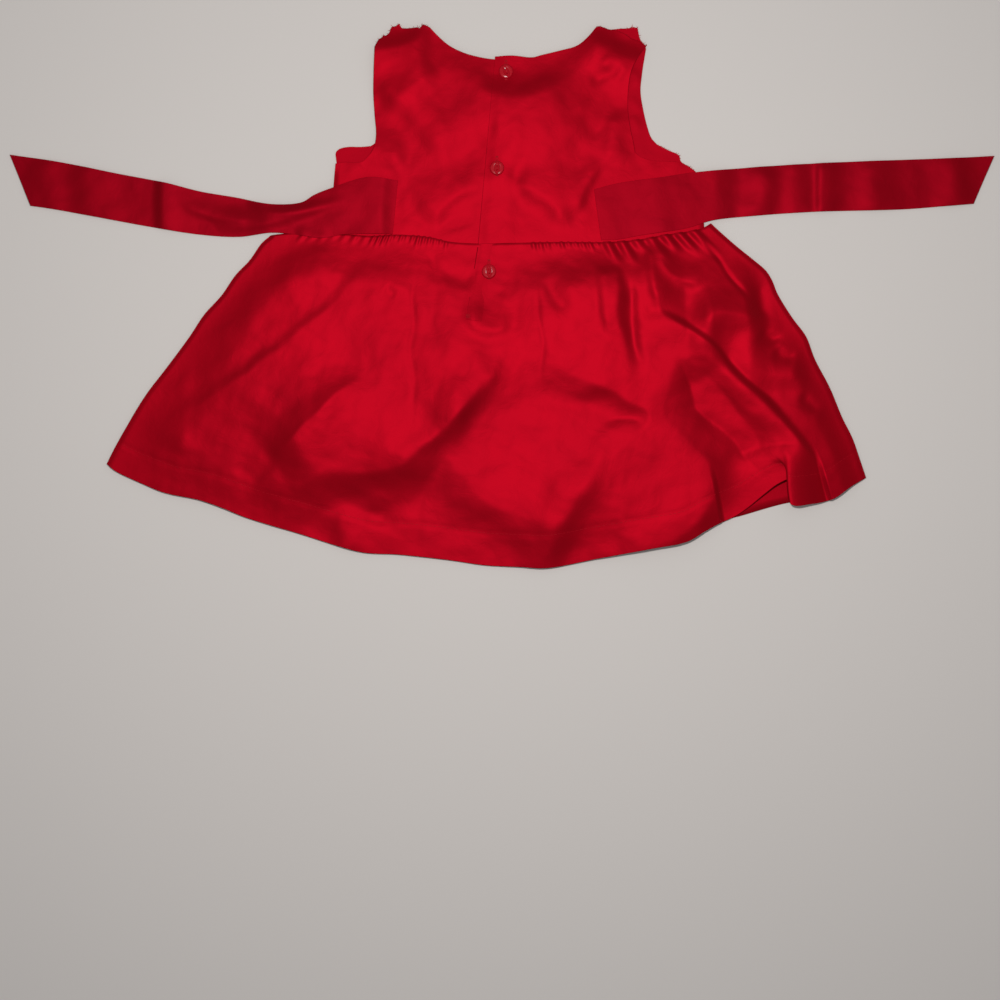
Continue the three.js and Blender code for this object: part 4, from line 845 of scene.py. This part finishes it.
# Sewing: every strand is a thin round thread
def strandPiece(name, strands, radius, material):
    curve = bpy.data.curves.new(name, "CURVE")
    curve.dimensions = "3D"
    curve.bevel_depth = radius * mm
    curve.bevel_resolution = 0
    curve.use_fill_caps = True
    for strand in strands:
        spline = curve.splines.new("POLY")
        spline.points.add(len(strand) - 1)
        for point, (x, y, z) in zip(spline.points, strand):
            point.co = (x * mm, y * mm, z * mm, 1)
    drawn = bpy.data.objects.new(name, curve)
    bpy.context.scene.collection.objects.link(drawn)
    mesh = bpy.data.meshes.new_from_object(drawn.evaluated_get(bpy.context.evaluated_depsgraph_get()))
    bpy.data.objects.remove(drawn)
    mesh.materials.clear()
    piece = bpy.data.objects.new(name, mesh)
    bpy.context.scene.collection.objects.link(piece)
    return finishPiece(piece, material)


def clothTop(spot, points):
    # Sets every point of the strands on the cloth below the button, and lifts it by its own height
    x, y, lift = np.array(points, dtype=float).reshape(-1, 3).T
    if spot["node"] == "button_skirt":
        level = skirtHeight(x, y) + lapRise * (1 - smooth(0.25, 1, (x - lineX(rightBack,
                y)) / placket["width"]))
    else:
        level = rightBackHeight(x, y)
    return np.stack([x, y, level + clothWall / 2 + lift], axis=-1).reshape(np.array(points).shape)


buttonhole = {"above": 1.8, "half": 7, "gap": 0.4, "reach": 1.1, "pitch": 0.42, "lift": 0.02,
              "barStitches": 4}
buttonThread = {"hole": 1.7, "apart": 0.28, "strands": 3, "sink": 0.75, "thick": 2.6}
holeStitches = []
buttonStitches = []
for spot in buttonSpots:
    x, y = spot["place"]
    y += buttonhole["above"]
    flat = []
    for level in np.arange(-buttonhole["half"], buttonhole["half"], buttonhole["pitch"]):
        for side in (-1, 1):
            flat.append([(x + side * buttonhole[key], y + level, buttonhole["lift"]) for key in ("gap",
                    "reach")])
    for k in range(buttonhole["barStitches"]):
        for end in (-1, 1):
            level = y + end * (buttonhole["half"] + 0.3 * k)
            flat.append([(x + side * buttonhole["reach"], level, buttonhole["lift"]) for side in (-1, 1)])
    holeStitches += clothTop(spot, flat).tolist()
    x, y = spot["place"]
    node = bpy.data.objects[spot["node"]]
    eye = min((node.matrix_world @ vert.co).z for vert in node.data.vertices) / mm
    eye += buttonThread["thick"] - buttonThread["sink"]
    turn = math.radians(spot["turn"])
    alongX, alongY = -math.sin(turn), math.cos(turn)
    foot = clothTop(spot, [(x, y, -0.3)])[0, 2]
    for k in range(buttonThread["strands"]):
        off = (k - (buttonThread["strands"] - 1) / 2) * buttonThread["apart"]
        middle = (x + alongY * off, y - alongX * off)
        hole = buttonThread["hole"]
        low, high = [(middle[0] + end * alongX * hole, middle[1] + end * alongY * hole) for end in (-1, 1)]
        buttonStitches.append([(*low, foot), (*low, eye), (*middle, eye + 0.3), (*high, eye),
                               (*high, foot)])
strandPiece("buttonholeStitches", holeStitches, 0.15, thread)
strandPiece("buttonStitches", buttonStitches, 0.17, thread)

hemStitch = {"length": 2.6, "step": 3.6, "lift": 0.02}
surface, uvs = skirtSurface(366, 122)
line = surface[int(np.argmin(np.abs(uvs[:, 0, 1] - hemDepth * mm)))]
arc = np.concatenate([[0], np.cumsum(np.linalg.norm(np.diff(line, axis=0), axis=1))])
hemStitches = []
for start in np.arange(4, arc[-1] - 4, hemStitch["step"]):
    places = start + hemStitch["length"] * np.array([0, 0.5, 1])
    stitch = np.stack([np.interp(places, arc, line[:, k]) for k in range(3)], axis=-1)
    stitch[:, 2] += clothWall / 2 + hemStitch["lift"]
    hemStitches.append(stitch.tolist())
strandPiece("hemStitches", hemStitches, 0.12, thread)

tack = {"fromX": -28.8, "toX": -25.6, "y": -17.2, "rows": 6, "pitch": 0.5, "lift": 0.03}
tackRows = [[(x, tack["y"] + k * tack["pitch"], tack["lift"]) for x in (tack["fromX"], tack["toX"])]
            for k in range(tack["rows"])]
strandPiece("barTack", clothTop(buttonSpots[2], tackRows).tolist(), 0.16, thread)

# Frayed yarns along the raw shoulders and the raw right underarm
frayRuns = [
    dict(rows=leftBack["shoulder"], count=64, level=backLevel, outX=-0.3, outY=1.0, longest=3.4),
    dict(rows=frontRight["shoulder"], count=58, level=frontLevel + 0.4, outX=0.7, outY=0.7, longest=3.2),
    dict(rows=rightBack["shoulder"], count=30, level=backLevel + 1, outX=0.5, outY=0.9, longest=2),
    dict(rows=frontRight["underarm"], count=46, level=frontLevel + 0.2, outX=0.8, outY=0.6, longest=2.4),
]
fraySource = random.Random(4)
frayed = []
for run in frayRuns:
    edge = pathThrough(run["rows"])
    for _ in range(run["count"]):
        place = pathAt(edge, np.array([fraySource.random()]))[0]
        heading = math.atan2(run["outY"], run["outX"]) + fraySource.uniform(-0.9, 0.9)
        long = run["longest"] * fraySource.uniform(0.25, 1) ** 2
        curl = fraySource.uniform(-0.8, 0.8)
        strand = []
        for step in range(5):
            share = step / 4
            angle = heading + curl * share
            strand.append((place[0] + long * (share - 0.35) * math.cos(angle),
                           place[1] + long * (share - 0.35) * math.sin(angle),
                           max(run["level"] - 1.2 * share * share, 0.2) + fraySource.uniform(0, 0.15)))
        frayed.append(strand)
strandPiece("frayedYarns", frayed, 0.11, thread)
print("sewing made:", len(holeStitches) + len(hemStitches) + len(buttonStitches), "stitches")

# Floor, light and camera
bm = bmesh.new()
bmesh.ops.create_grid(bm, x_segments=2, y_segments=2, size=3.0)
bmesh.ops.translate(bm, verts=bm.verts, vec=(0, 0, -0.0004))
floor = meshObject("floor", bm)
floorMaterial = bpy.data.materials.new("pale_cotton_sheet")
floorMaterial.use_nodes = True
floorTree = floorMaterial.node_tree
floorShader = floorTree.nodes["Principled BSDF"]
floorShader.inputs["Base Color"].default_value = linear("#cfc8c2")
floorShader.inputs["Roughness"].default_value = 0.9
floor.data.materials.append(floorMaterial)


def areaLight(name, place, size, power, target=(0, 0, 0)):
    data = bpy.data.lights.new(name, "AREA")
    data.shape = "DISK"
    data.size = size
    data.energy = power
    light = bpy.data.objects.new(name, data)
    light.location = place
    direction = np.array(target, dtype=float) - np.array(place, dtype=float)
    light.rotation_euler = (math.atan2(math.hypot(direction[0], direction[1]), -direction[2]), 0,
                            math.atan2(direction[0], -direction[1]))
    light.visible_camera = False
    bpy.context.scene.collection.objects.link(light)
    return light


areaLight("key", (0.0, 0.02, 1.1), 0.06, 7.8)
areaLight("fill", (0.0, 0.0, 2.6), 2.4, 3.0)
world = bpy.data.worlds.new("studio") if bpy.context.scene.world is None else bpy.context.scene.world
bpy.context.scene.world = world
world.use_nodes = True
world.node_tree.nodes["Background"].inputs["Color"].default_value = (0.92, 0.95, 1.0, 1.0)
world.node_tree.nodes["Background"].inputs["Strength"].default_value = 0.3
bpy.context.scene.view_settings.view_transform = "Standard"

cameraData = bpy.data.cameras.new("camera")
cameraHeight = 2.4
frameWidth = 0.8
cameraData.sensor_width = 36.0
cameraData.lens = 36.0 * cameraHeight / frameWidth
cameraData.clip_end = 20
camera = bpy.data.objects.new("camera", cameraData)
camera.location = (-0.0016, -0.1628, cameraHeight)
bpy.context.scene.collection.objects.link(camera)
bpy.context.scene.camera = camera
print("scene lit")
